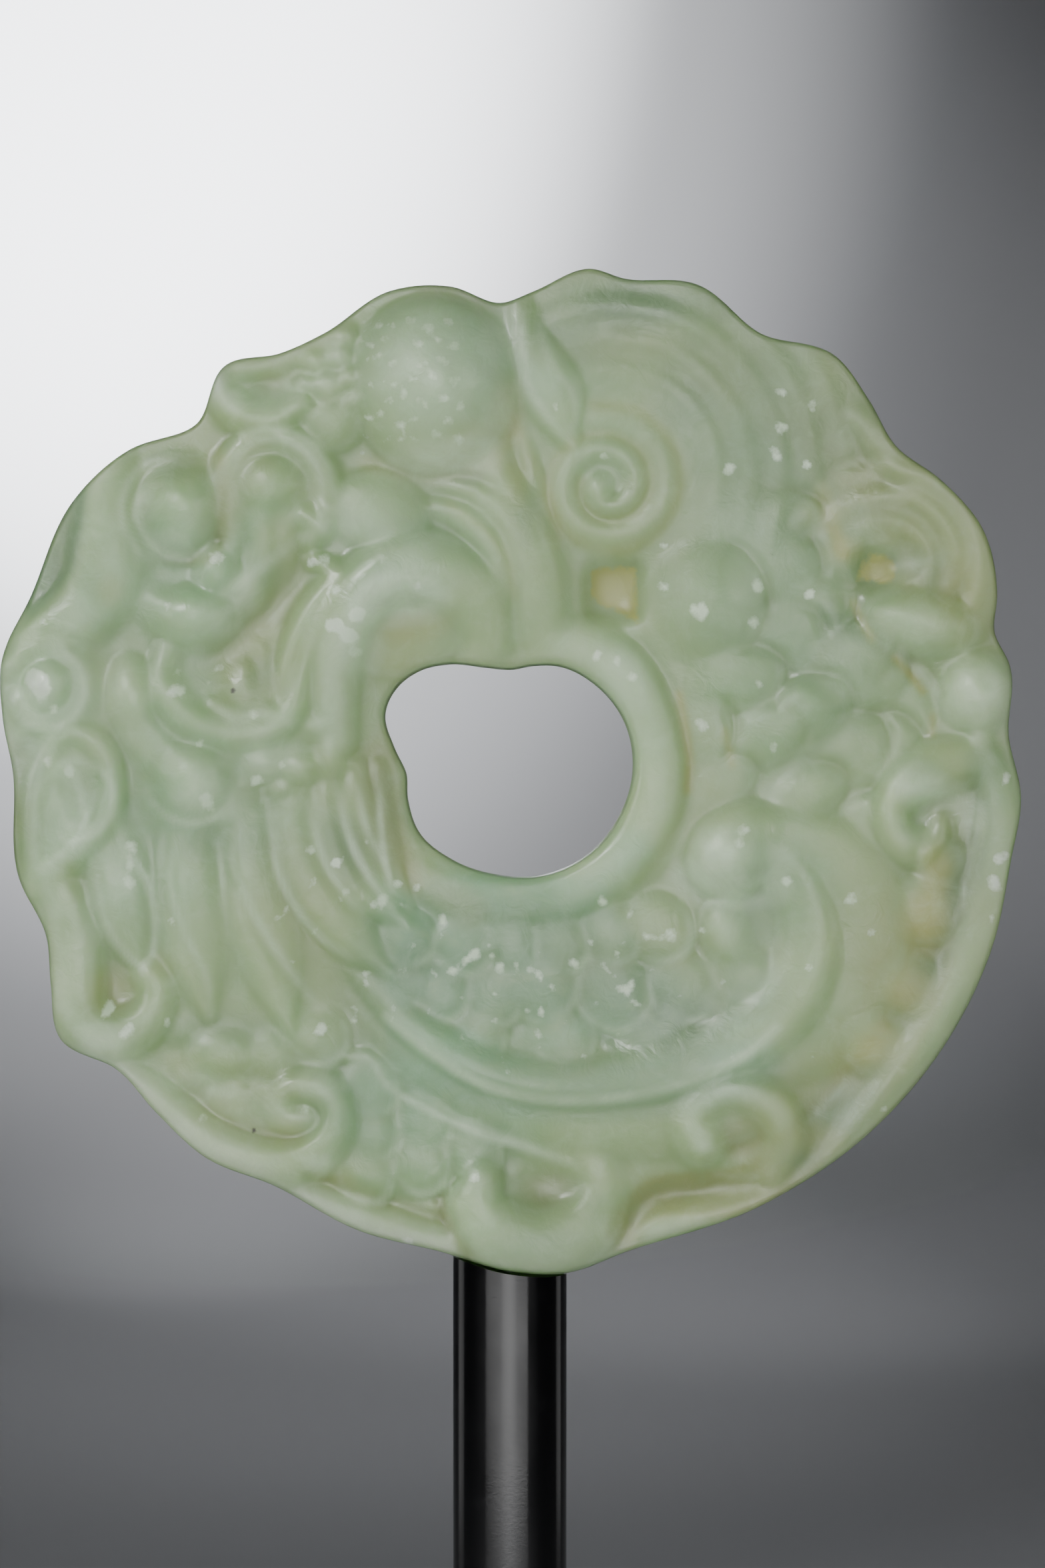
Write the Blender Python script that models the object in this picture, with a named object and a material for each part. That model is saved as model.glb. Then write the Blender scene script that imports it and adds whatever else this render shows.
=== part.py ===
"""Carved jade roundel from a belt, held upright by a black rod on a round foot.

Metres, +Z up, the carved face looks along -Y. The origin is the centre of the foot's underside.
The roundel is a thick jade ring with a lobed rim. A coiled dragon is carved on its face, and its
height over the plate comes from forms that are added one after the other: lobes, bands, grooves
and pits. Their places and widths are in hundredths of the roundel's radius, measured from its
centre, with x to the right and z up, and their heights are shares of the relief's full depth.
"""
import math

import bmesh
import bpy
import numpy as np

# Roundel
DISC_RADIUS = 0.027
PLATE_THICKNESS = 0.0045
RELIEF_DEPTH = 0.0046
EDGE_THICKNESS = 0.0026
EDGE_BULGE = 0.0006
RIM_ROUNDING = 0.0022
HOLE_ROUNDING = 0.0017
DISC_SETBACK = 0.0012

# Rod and foot
ROD_DIAMETER = 0.006
ROD_FREE_LENGTH = 0.026
FOOT_DIAMETER = 0.050
FOOT_HEIGHT = 0.008
FOOT_ROUNDING = 0.0012
SOCKET_DEPTH = 0.005
GAP = 0.0003

# How finely the solids are faceted
SECTORS = 270
FACE_RINGS = 62
BACK_RINGS = 5
EDGE_ROWS = 3
ROUNDEL_TRIANGLES = 8800
ROD_SIDES = 28
FOOT_SIDES = 48

# Carving: the plain ground between the forms, and how softly one form melts into the next
GROUND_SHARE = 0.33
SOFTNESS_SHARE = 0.09
CHISEL_WIDTH = 0.0007
UNITS_PER_RADIUS = 100.0

# The lobed rim: angle in degrees from +X, and distance from the centre in shares of the radius
RIM = ((4, 0.982), (12, 1.003), (16, 0.990), (20, 1.018), (27, 1.042), (34, 1.020), (40, 0.990),
       (46, 1.014), (52, 1.035), (60, 0.990), (69, 1.023), (77, 0.992), (81, 0.998), (87, 0.944),
       (91, 0.919), (97, 0.958), (104, 0.971), (113, 0.933), (119, 0.936), (125, 0.972),
       (132, 0.918), (140, 0.978), (148, 1.007), (160, 1.001), (168, 1.020), (174, 1.001),
       (180, 0.976), (192, 0.987), (200, 0.967), (205, 0.994), (211, 1.027), (217, 0.970),
       (224, 0.965), (232, 0.965), (240, 0.937), (252, 0.950), (262, 0.954), (270, 0.982),
       (276, 0.992), (284, 0.971), (300, 0.986), (316, 1.003), (340, 1.008), (350, 0.999), (357, 1.005))

# The hole, which is not quite round
HOLE = ((0, 0.241), (24, 0.244), (44, 0.238), (64, 0.227), (78, 0.210), (88, 0.199), (104, 0.209),
        (120, 0.241), (132, 0.264), (144, 0.275), (156, 0.268), (168, 0.233), (180, 0.205),
        (196, 0.208), (214, 0.215), (236, 0.208), (262, 0.205), (290, 0.215), (316, 0.225), (340, 0.233))


def centre_height():
    """How far the roundel's centre stands over the table."""
    return FOOT_HEIGHT + ROD_FREE_LENGTH + DISC_RADIUS


def clear_scene():
    for item in list(bpy.data.objects):
        bpy.data.objects.remove(item, do_unlink=True)


def finish(name, colour, roughness):
    """A plain stand-in for a piece's surface."""
    material = bpy.data.materials.new(name)
    material.use_nodes = True
    shader = material.node_tree.nodes["Principled BSDF"]
    shader.inputs["Base Color"].default_value = (*colour, 1.0)
    shader.inputs["Roughness"].default_value = roughness
    shader.inputs["Metallic"].default_value = 0.0
    return material


def add_object(name, bm, material=None):
    mesh = bpy.data.meshes.new(name)
    bm.to_mesh(mesh)
    bm.free()
    item = bpy.data.objects.new(name, mesh)
    bpy.context.scene.collection.objects.link(item)
    if material:
        mesh.materials.append(material)
    return item


def round_edge(stations, angle):
    """Distance from the centre at each angle, on a smooth closed curve through the stations."""
    at, far = np.array(stations, float).T
    at = np.concatenate([at[-2:] - 360, at, at[:3] + 360])
    far = np.concatenate([far[-2:], far, far[:3]])
    slope = np.gradient(far, at)
    turn = np.mod(angle - at[1], 360) + at[1]
    i = np.searchsorted(at, turn, side="right") - 1
    span = at[i + 1] - at[i]
    s = (turn - at[i]) / span
    start = (1 + 2 * s) * (1 - s) ** 2 * far[i] + s * (1 - s) ** 2 * span * slope[i]
    end = s ** 2 * (3 - 2 * s) * far[i + 1] - s ** 2 * (1 - s) * span * slope[i + 1]
    return start + end


def smooth_path(points, steps=12):
    """Points along a smooth curve through the given ones."""
    p = np.array(points, float)
    ends = np.vstack([2 * p[0] - p[1], p, 2 * p[-1] - p[-2]])
    path = [p[0]]
    for before, a, b, after in zip(ends, ends[1:], ends[2:], ends[3:]):
        for t in np.arange(1, steps + 1) / steps:
            bend = 2 * before - 5 * a + 4 * b - after
            twist = 3 * a - before - 3 * b + after
            path.append(a + 0.5 * ((b - before) * t + bend * t ** 2 + twist * t ** 3))
    return np.array(path)


def spiral(at, radius, start, end, stops=9):
    """Stops along a circle's arc, or along a spiral where the radius is a pair."""
    inner, outer = radius if isinstance(radius, tuple) else (radius, radius)
    share = np.linspace(0, 1, stops)
    turn = np.radians(start + (end - start) * share)
    far = inner + (outer - inner) * share
    return np.stack([at[0] + far * np.cos(turn), at[1] + far * np.sin(turn)], 1)


def along(value, share):
    """A size that may change along a path: one number, or several, evenly spaced."""
    if np.isscalar(value):
        return np.full_like(share, float(value))
    stops = smooth_path([(i, size) for i, size in enumerate(value)])
    return np.interp(share * (len(value) - 1), stops[:, 0], stops[:, 1])


class Carving:
    """Height of the carving over the plate at many places of the face."""

    def __init__(self, x, z, ground):
        self.x = x
        self.z = z
        self.height = np.full_like(x, float(ground))

    def join(self, where, top):
        """Lets a form stand out of what is there, with a soft crease where they meet."""
        below = self.height[where]
        overlap = np.maximum(SOFTNESS_SHARE - np.abs(below - top), 0) / SOFTNESS_SHARE
        self.height[where] = np.maximum(below, top) + overlap ** 2 * SOFTNESS_SHARE / 4

    def oval(self, at, size, turn):
        """Places in an oval's own directions, as shares of its half length and half width."""
        length, width = size if isinstance(size, tuple) else (size, size)
        c = math.cos(math.radians(turn))
        s = math.sin(math.radians(turn))
        right = self.x - at[0]
        up = self.z - at[1]
        return (right * c + up * s) / length, (up * c - right * s) / width

    def lobe(self, at, size, height, turn=0, foot=0.1, fullness=0.5, lean=0.0):
        """An oval dome, which may lean: then it is higher at one end."""
        p, q = self.oval(at, size, turn)
        reach = p ** 2 + q ** 2
        where = np.flatnonzero(reach < 1)
        rise = (height - foot) * (1 - reach[where]) ** fullness
        self.join(where, foot + rise * (1 + lean * p[where]))

    def near(self, path, width):
        """The places within a path's width: their share of it, how far along they are, and the side."""
        path = smooth_path(path)
        widest = np.max(width)
        low = path.min(0) - widest
        high = path.max(0) + widest
        box = (self.x > low[0]) & (self.x < high[0]) & (self.z > low[1]) & (self.z < high[1])
        where = np.flatnonzero(box)
        spot = np.stack([self.x[where], self.z[where]], 1)
        steps = np.diff(path, axis=0)
        lengths = np.maximum(np.hypot(steps[:, 0], steps[:, 1]), 1e-9)
        starts = np.concatenate([[0], np.cumsum(lengths)])
        away = np.full(len(where), 1e9)
        share = np.zeros(len(where))
        side = np.zeros(len(where))
        for a, step, length, start in zip(path, steps, lengths, starts):
            run = np.clip((spot - a) @ step / length, 0, length)
            off = spot - a - run[:, None] * step / length
            distance = np.hypot(off[:, 0], off[:, 1])
            closer = distance < away
            away[closer] = distance[closer]
            share[closer] = (start + run[closer]) / starts[-1]
            side[closer] = np.sign(step[0] * off[closer, 1] - step[1] * off[closer, 0])
        reach = away / np.maximum(along(width, share), 1e-6)
        inside = reach < 1
        return where[inside], reach[inside], share[inside], side[inside]

    def band(self, path, width, height, foot=0.1, fullness=0.5, lean=0.0):
        """A rounded ridge along a path. Half width and height may change, and it may lean to its left."""
        where, reach, share, side = self.near(path, width)
        rise = (along(height, share) - foot) * (1 - reach ** 2) ** fullness
        self.join(where, foot + rise * (1 + lean * side * reach))

    def groove(self, path, width, depth):
        """A soft hollow along a path."""
        where, reach, share, _ = self.near(path, width)
        self.height[where] -= along(depth, share) * (1 - reach ** 2) ** 1.5

    def pit(self, at, size, depth, turn=0, corners=2):
        """A soft hollow: oval, or nearly square where corners is high."""
        p, q = self.oval(at, size, turn)
        reach = np.abs(p) ** corners + np.abs(q) ** corners
        where = np.flatnonzero(reach < 1)
        self.height[where] -= depth * (1 - reach[where]) ** 1.2

    def ripples(self, at, near, far, pitch, fan, depth):
        """Rounded ripples about a centre, which fade out towards the ends of their fan."""
        right = self.x - at[0]
        up = self.z - at[1]
        out = np.hypot(right, up)
        turn = np.mod(np.degrees(np.arctan2(up, right)) - fan[0], 360) / (fan[1] - fan[0])
        where = np.flatnonzero((out > near) & (out < far) & (turn < 1))
        out = out[where]
        turn = turn[where]
        fade = np.clip((far - out) / pitch, 0, 1) * np.clip((out - near) / pitch, 0, 1)
        fade *= np.sin(math.pi * turn) ** 0.5
        self.height[where] += depth * fade * np.cos(2 * math.pi * (out - near) / pitch)


def carve_masses(c):
    """Broad swellings that carry the finer forms: head, mane, coiled body, upper arcs and belly."""
    for at, size, height, turn in (((-58, 36), (40, 44), 0.46, -20), ((-52, -22), (36, 36), 0.44, 20),
                                   ((54, 20), (38, 36), 0.44, 0), ((32, 68), (42, 30), 0.42, -20),
                                   ((22, -50), (56, 28), 0.40, 6)):
        c.lobe(at, size, height, turn, foot=0.2, fullness=0.4)


def carve_body(c):
    """The coiled body to the right of the hole: broad scales whose free edges point up and right."""
    bumps = (((47, 48), (15, 7), 0.46, 10), ((60, 40), (9, 7), 0.48, 0), ((52, 40), (9, 8), 0.50, 0),
             ((38, 33), (12.6, 12.6), 0.58, 0), ((60, 32), (8, 7), 0.52, 0), ((54, 26), (8, 7), 0.50, 0),
             ((76, 14), (8, 9), 0.46, 40), ((69, 18), (10, 8), 0.54, 40), ((66, 22), (10, 7), 0.54, 30),
             ((44, 18), (10.5, 6.6), 0.56, 10), ((73, 4), (8, 8), 0.48, 40), ((58, 11), (10, 7), 0.60, 35),
             ((66, 4), (9, 7), 0.52, 40), ((48, 6), (10, 6.4), 0.54, 20), ((39, 8), (5, 7), 0.48, 0),
             ((58, -4.5), (8.6, 5.6), 0.58, 25), ((70, -10), (7, 6), 0.50, 45),
             ((42, -2), (7, 5), 0.46, 20))
    for at, size, height, turn in bumps:
        c.lobe(at, size, height, turn, foot=0.26, fullness=0.35, lean=0.08)


def carve_great_scroll(c):
    """The scroll at the top right, with ripples fanned out beside it as far as the shoulder."""
    for at, size in (((15, 90), (15, 9)), ((33, 88), (13, 9)), ((58, 74), (14, 12))):
        c.lobe(at, size, height=0.42)
    c.ripples(at=(20, 58), near=14, far=50, pitch=6.3, fan=(-30, 130), depth=0.075)
    c.band(spiral((19.4, 57), (2.4, 14.2), 170, 820, stops=22), width=(2.2, 3.2, 3.4, 3.4),
           height=(0.72, 0.64, 0.58, 0.50), fullness=0.65)
    c.lobe(at=(17, 55.4), size=(2.6, 3.8), height=0.78, turn=-25)


def carve_right_comma(c):
    """The upper right shoulder: ripples round a deep pit, with a bright lobe under it."""
    c.band(((68, 69), (78, 59), (87, 50), (92, 39), (91, 27)), width=(3, 6, 6, 3),
           height=(0.42, 0.54, 0.54, 0.44))
    c.lobe(at=(76, 45), size=(17, 14), height=0.52, turn=-20, foot=0.2, fullness=0.4)
    c.ripples(at=(73.5, 40.5), near=3, far=25, pitch=5.2, fan=(-50, 165), depth=0.075)
    c.pit(at=(77, 41.4), size=(5, 4.6), depth=0.22)
    c.pit(at=(72, 39), size=(5.4, 5), depth=0.40, corners=3)
    c.lobe(at=(80.4, 29), size=(13, 6.6), height=0.80, turn=-12)
    c.groove(((66, 32), (70, 27), (77, 21), (82, 15), (83, 9)), width=(1, 1.8, 1.8, 0.8),
             depth=(0.02, 0.14, 0.12, 0.02))


def carve_scales(c):
    """Rows of flat scales between the ring and the belly, and a patch of them below it."""
    for at, size, turn in (((0, -34), (7, 6.4), -70), ((10, -34), (7, 6), -60), ((-9, -34), (7, 6.4), -80),
                           ((20, -32), (7, 6.6), -50), ((29, -31), (8, 7), -40), ((-20, -33), (6.4, 6), -90),
                           ((-21, -41), (6.4, 6.6), -80), ((-13.4, -43), (7, 6.6), -65),
                           ((-3, -44), (7, 6.6), -65), ((6, -42), (8.6, 8), -50),
                           ((20.4, -43.4), (9, 7.4), -60), ((34, -42.6), (8, 7), -45),
                           ((46, -40), (8, 6), -40), ((-6, -52), (6.4, 6), -60), ((10.6, -52), (8, 6.6), -60),
                           ((29, -51.6), (7, 8.6), -60), ((42, -47), (6, 5.4), -45)):
        c.lobe(at, size, height=0.50, turn=turn, foot=0.26, fullness=0.3, lean=0.12)
    for at in ((-37, -52), (-27, -62), (-27, -70.6), (-16.4, -68.6), (-7, -74), (-28, -79), (-17.4, -77)):
        c.lobe(at, size=(6.8, 6), height=0.48, turn=-60, foot=0.26, fullness=0.3, lean=0.12)


def carve_ring(c):
    """The smooth coil round the hole, and the deep four-sided pit above its start."""
    path = ((9, 24.5), (16, 23.6), (24, 16.4), (28.7, 4), (27.8, -8), (22.5, -17), (12, -23), (1, -25.3),
            (-10, -24.3), (-17.5, -20), (-21.5, -11))
    c.band(path, width=(4.6, 5.8, 5.8, 5.6, 5.2, 4.8, 2.0), height=(0.5, 0.66, 0.66, 0.64, 0.6, 0.5, 0.35),
           foot=0)
    c.groove(((13, 31), (20, 28.4), (28, 21), (33.4, 8), (34.6, -4), (31, -14), (25, -22)), width=2.2,
             depth=(0.05, 0.16, 0.18, 0.16, 0.1))
    c.pit(at=(20.2, 35.2), size=(6.2, 6.8), depth=0.42, corners=5)


def carve_rim(c):
    """The long plain border from the boss on the right round to the foot of the roundel."""
    border = ((92, 6), (95.5, -5), (95, -18), (91, -32), (85, -44), (77, -55), (67, -66), (57, -75),
              (44, -83.5), (28, -90))
    c.band(border, width=(3, 5.8, 5.8, 5.6, 5, 3.5), height=(0.5, 0.54, 0.54, 0.52, 0.48, 0.4), foot=0)
    hollow = ((21, -94), (23.6, -88), (29, -83), (40, -82), (51, -79), (60, -72.5), (68, -62), (77, -50),
              (84, -38), (88, -24))
    c.groove(hollow, width=(2, 4, 4, 3.4, 2.4, 1.6), depth=(0.1, 0.24, 0.22, 0.16, 0.10, 0))
    c.lobe(at=(91.5, 15.5), size=(8.4, 8.6), height=0.72, foot=0, fullness=0.35)
    c.pit(at=(93.4, 17.2), size=1.9, depth=0.12)


def carve_right_curl(c):
    """The hooked curl under the boss."""
    path = ((93, 2), (86, 1.4), (79, -1.2), (74.6, -6.2), (75, -12.2), (79.2, -15.6), (83.4, -13.4),
            (84, -10.4))
    c.band(path, width=(4, 6, 5, 3.6, 3.4, 2.2), height=(0.5, 0.62, 0.74, 0.78, 0.7, 0.5), foot=0.05)
    c.pit(at=(80.4, -9.4), size=(3, 2.6), depth=0.16)


def carve_belly(c):
    """The great comma right of the hole, whose tail sweeps under it as the ridged belly."""
    for at, size in (((81, -26), (7.4, 8)), ((84, -17.6), (5, 5)), ((77, -42), (6.6, 6.6)),
                     ((70, -53), (7.4, 7))):
        c.lobe(at, size, height=0.44, foot=0.2, fullness=0.4)
    shoulder = ((47, -11), (55, -11.6), (63, -15.6), (69, -24), (71, -34), (66, -46), (55, -56), (44, -62))
    c.band(shoulder, width=(3, 4.4, 6.6, 8.6, 9.4, 8, 5, 2),
           height=(0.62, 0.68, 0.66, 0.6, 0.52, 0.46, 0.42, 0.36),
           fullness=0.5)
    tail = ((46, -14.5), (53.6, -19), (57.6, -27), (58, -36), (53.6, -45), (45.6, -51.6), (35, -56.4),
            (22, -59.6),
            (8, -60.4), (-5, -57.6), (-15, -52), (-24, -44.6), (-32, -37))
    c.band(tail, width=(4.6, 4.8, 5.6, 6, 5, 4.6, 4.4, 4, 1.6),
           height=(0.56, 0.64, 0.7, 0.76, 0.76, 0.75, 0.74, 0.66, 0.42), lean=0.06)
    c.band(((49, -11), (44, -12), (40.5, -17.6)), width=(3.4, 6, 7), height=(0.66, 0.82, 0.92))
    c.lobe(at=(42, -31.5), size=(5.4, 7.6), height=0.64, turn=12)
    under = ((50, -64), (34, -67.6), (16, -69), (0, -66), (-12, -60.6), (-22, -53), (-31, -44))
    c.band(under, width=(7, 8, 7, 6, 5, 2), height=(0.44, 0.48, 0.48, 0.48, 0.46, 0.34), fullness=0.4)


def carve_lower_right(c):
    """The smooth field at the lower right with its C-shaped curl."""
    c.lobe(at=(46, -70), size=(20, 10), height=0.42, foot=0.2, fullness=0.5)
    curl = ((37.5, -72.6), (35.2, -68.4), (38.6, -64.4), (45, -62.8), (51.4, -65.6), (54, -71.6),
            (51.6, -78))
    c.band(curl, width=(4.6, 3.4, 3.8, 4, 2.6), height=(0.68, 0.56, 0.64, 0.6, 0.4))
    c.pit(at=(44.4, -71.4), size=(5, 5.4), depth=0.08)


def carve_bottom_curl(c):
    """The curl at the foot of the roundel, over the rod."""
    path = ((-5.6, -79.5), (-6, -86), (-0.5, -91.6), (9, -92), (15.4, -86.6), (18.4, -80), (21, -72))
    c.band(path, width=(3.8, 7.2, 7, 6.8, 5.4), height=(0.7, 0.74, 0.66, 0.58, 0.42), foot=0)
    c.pit(at=(7, -81.6), size=(7.4, 5.6), depth=0.14, turn=-10)
    c.groove(((-13.6, -83), (-12.4, -88.6), (-8.4, -94.6)), width=1.5, depth=0.14)


def carve_lower_left(c):
    """Small clouds and a scroll at the lower left, with a border outside them."""
    clouds = (((-56, -55.4), (8, 6), 0.56), ((-46.4, -55.6), (6, 6.4), 0.52),
              ((-54, -63.4), (5.6, 4.4), 0.48),
              ((-48, -63.6), (4.4, 4), 0.46), ((-39, -52), (5, 4.6), 0.5), ((-64, -50.4), (4.4, 4), 0.44),
              ((-62.6, -58), (4.6, 4.6), 0.40))
    for at, size, height in clouds:
        c.lobe(at, size, height, foot=0.2)
    path = ((-79, -57), (-70, -64), (-61, -71.6), (-51, -76.2), (-42, -76.4), (-35.6, -72.4),
            (-33.6, -66.6),
            (-37, -62), (-42.6, -61.8), (-45.4, -65), (-43.4, -68), (-40, -67.6))
    c.band(path, width=(3.6, 5, 5.2, 4.8, 3.6, 3.2, 2.4), height=(0.5, 0.56, 0.58, 0.62, 0.62, 0.6, 0.5),
           foot=0)
    c.groove(((-63, -62.6), (-56, -68.6), (-48, -71.6), (-41.6, -71.6)), width=2.6, depth=0.12)
    c.band(((-46, -80), (-36, -85.4), (-24, -90), (-12, -93.4)), width=(2.5, 4.8, 4), height=0.46, foot=0)
    c.groove(((-39, -79.6), (-30, -82), (-20, -85.4), (-13, -88)), width=2.4, depth=0.14)


def carve_left_hook(c):
    """The hook that stands out of the rim at the lower left."""
    path = ((-92, -20), (-88.6, -29), (-87, -38), (-86, -46), (-81.5, -52), (-75, -54.2), (-69, -52),
            (-66.8, -46.6),
            (-69.4, -41.6))
    c.band(path, width=(4, 4.8, 5.2, 4.8, 3.6), height=(0.5, 0.6, 0.66, 0.72, 0.6), foot=0)
    c.pit(at=(-77.6, -43), size=(4.8, 7), depth=0.14)


def carve_mane(c):
    """Long leaf-shaped locks that flow down from the jaw, each lapping over the one on its right."""
    locks = ((((-24.4, -1), (-24.6, -10), (-23, -17), (-20, -24)), 2.6, 0.44),
             (((-29, 0), (-28, -9), (-25.6, -17), (-21, -26)), 3.0, 0.52),
             (((-33.6, 0), (-32, -10.6), (-28.4, -20), (-20.6, -30.4)), 3.8, 0.58),
             (((-39.4, -2), (-37.4, -14), (-32.4, -25), (-24, -36)), 4.8, 0.60),
             (((-46.6, -3), (-45, -17), (-38.6, -29.6), (-28, -40.6)), 5.0, 0.66),
             (((-53.6, -7), (-51.4, -22), (-46.8, -36), (-43, -52.6)), 6.6, 0.66),
             (((-63.4, -9), (-62.4, -23), (-60.6, -37), (-59, -51)), 7.0, 0.68),
             (((-74.4, -9), (-75.4, -22), (-73.6, -32), (-70.6, -40.4)), 6.6, 0.62),
             (((-81, -17), (-82, -26), (-80, -33)), 3.0, 0.48))
    for path, width, height in locks:
        c.band(path, width=(0.5 * width, width, 0.92 * width, 0.2 * width),
               height=(0.8 * height, height, 0.94 * height, 0.62 * height), foot=0.16, lean=-0.12)


def carve_throat(c):
    """The round bulb under the jaw, the teardrop that runs into it, and the knobbly chin."""
    c.lobe(at=(-73.8, 14.4), size=(6, 10.4), height=0.74, turn=8)
    c.band(((-72, 8), (-68, 3), (-64, 0)), width=(5, 6, 7), height=(0.66, 0.7, 0.76))
    c.lobe(at=(-62, -1), size=(9, 9), height=0.86)
    for at, size, height in (((-48, 1.4), (6.4, 4.6), 0.70), ((-41, 0.6), (5, 4.4), 0.70),
                             ((-54.6, 3.6), (5, 4), 0.66),
                             ((-35, 3), (4.4, 6), 0.64), ((-44.6, -3.4), (4, 2.8), 0.6),
                             ((-38, 8.4), (4, 4), 0.62),
                             ((-51, -2.4), (3, 2.4), 0.56)):
        c.lobe(at, size, height)


def carve_ear(c):
    """The ear at the left edge: an oval hollow with a rolled border and a small tongue in it."""
    c.lobe(at=(-86, -4), size=(9, 12), height=0.48, fullness=0.4)
    path = ((-93, -23), (-93.4, -10), (-91.6, 1), (-86.6, 7.2), (-80.6, 5.2), (-77.6, -1.6), (-79, -9.6),
            (-84.6, -16), (-92.4, -22.4))
    c.band(path, width=(2.8, 2.8, 2.8, 3, 3, 2.8), height=(0.56, 0.66, 0.70, 0.72, 0.68, 0.54), foot=0.2)
    c.pit(at=(-84.4, -4), size=(4, 7), depth=0.12, turn=10)
    c.lobe(at=(-87.4, -7.4), size=(2.8, 4.8), height=0.58, turn=-15, foot=0.3)


def carve_left_scroll(c):
    """The scroll at the left edge, and the lobe that leads down to it."""
    c.band(((-78, 34), (-87, 29.4), (-95, 25)), width=(6, 6.4, 4), height=(0.6, 0.66, 0.6))
    c.band(spiral((-90.4, 16), (8.4, 6.4), 150, -160, stops=12), width=(3, 3.6, 3.6, 2.6), height=0.64,
           foot=0)
    c.lobe(at=(-90.4, 16.8), size=(5.6, 6.2), height=0.76, foot=0.2)


def carve_eyes(c):
    """Two domed eyes: the left one ringed, the right one under a bent brow with a knob at its end."""
    c.band(((-78.6, 60), (-78, 50), (-79, 38), (-84, 30)), width=(6, 8.4, 9.6, 8),
           height=(0.56, 0.66, 0.68, 0.64))
    c.lobe(at=(-65, 51.6), size=(12, 12), height=0.62, foot=0.2, fullness=0.4)
    c.groove(spiral((-64, 51), 9.4, -170, 80), width=2.4, depth=(0, 0.16, 0.16, 0))
    c.groove(spiral((-64.6, 51), 9.0, 60, 220), width=1.4, depth=(0, 0.08, 0))
    c.lobe(at=(-63.8, 51.6), size=(6.8, 8), height=0.80, turn=8, foot=0.3)
    c.lobe(at=(-64.4, 49.8), size=(5.2, 6), height=0.92, foot=0.3)
    c.lobe(at=(-47.4, 54), size=(12.6, 12), height=0.62, fullness=0.4, foot=0.2)
    c.band(((-53.6, 62), (-54.6, 52), (-54, 44)), width=2.2, height=(0.6, 0.64, 0.58), foot=0.3)
    c.band(((-48.6, 50), (-48, 43), (-50.4, 36)), width=3.4, height=(0.66, 0.66, 0.62), foot=0.3)
    c.band(((-43.4, 50), (-43.4, 44), (-44.6, 38)), width=2.6, height=(0.62, 0.62, 0.5), foot=0.3)
    brow = ((-56, 54), (-54.4, 60), (-49.4, 64.4), (-42.6, 64), (-37, 58.8), (-35.4, 51))
    c.band(brow, width=3.2, height=(0.6, 0.76, 0.78, 0.76, 0.66), foot=0.3)
    c.lobe(at=(-46.8, 56), size=(6.2, 5.8), height=0.84, foot=0.3)
    for at, size in (((-39.6, 49.4), 2.6), ((-37, 47.6), 2.8), ((-39, 45), 2.2), ((-35.8, 51.4), 2.2),
                     ((-38.4, 41.2), 1.7),
                     ((-36.2, 40), 1.6)):
        c.lobe(at, size, height=0.80, foot=0.3)


def carve_clouds(c):
    """Small flame-like curls between the brow and the pearl."""
    c.lobe(at=(-44, 73), size=(15, 10), height=0.44, turn=15, foot=0.1, fullness=0.4)
    c.band(((-58, 76), (-54.6, 78.6), (-47, 79.2), (-40, 82.6), (-33, 85)), width=2.8, height=0.5)
    c.band(((-57, 77), (-56, 72.4), (-51.6, 69), (-45.4, 69), (-41, 71.6)), width=(2.2, 3.6, 3.8, 2.6),
           height=0.70)
    c.pit(at=(-47.4, 75.6), size=(5.4, 3), depth=0.12, turn=8)
    for at, size in (((-35, 68), (6.4, 6)), ((-35.6, 75), (4, 3.6)), ((-38.4, 80), (3, 2.6)),
                     ((-33.6, 81), (3, 2.8)),
                     ((-31.6, 76.6), (2.4, 2.8)), ((-31, 72), (2.4, 2.4)), ((-40, 75.6), (2.4, 2)),
                     ((-33, 85), (2.8, 2))):
        c.lobe(at, size, height=0.64, foot=0.3)


def carve_neck(c):
    """The thick arched neck left of the hole, with plumes laid over it."""
    for shift, rise, height in ((6.6, 8, 0.50), (3.4, 4, 0.56), (0, 0, 0.58)):
        plume = ((-20 + shift, 52.4 + rise), (-9 + shift, 49.6 + rise), (-2 + shift, 41 + rise),
                 (-0.6 + shift, 29 + rise))
        c.band(plume, width=(0.6, 3.2, 3.4, 1.6), height=(0.36, height, height, 0.42))
    column = ((-3, 64), (-1.4, 56), (2.6, 47), (5.5, 37), (6, 28), (7, 22))
    c.band(column, width=(3, 4.6, 6.2, 6.4, 5.6), height=(0.45, 0.55, 0.6, 0.56, 0.42))
    c.band(((2.6, 64.6), (4.4, 58), (7, 50)), width=2.2, height=(0.4, 0.46, 0.4))
    c.lobe(at=(-26.6, 49.4), size=(8.8, 8), height=0.84, turn=-20, foot=0.2)
    arch = ((-34, 6), (-34.4, 18), (-32, 30), (-24.6, 38.4), (-15, 39), (-7.6, 34.4), (-4.6, 27), (-6, 21))
    c.band(arch, width=(4.6, 5.4, 6.8, 7.8, 7.2, 5), height=(0.6, 0.74, 0.82, 0.80, 0.68, 0.48), foot=0.05)
    c.pit(at=(-18.6, 27), size=(5.6, 4), depth=0.08)


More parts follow.
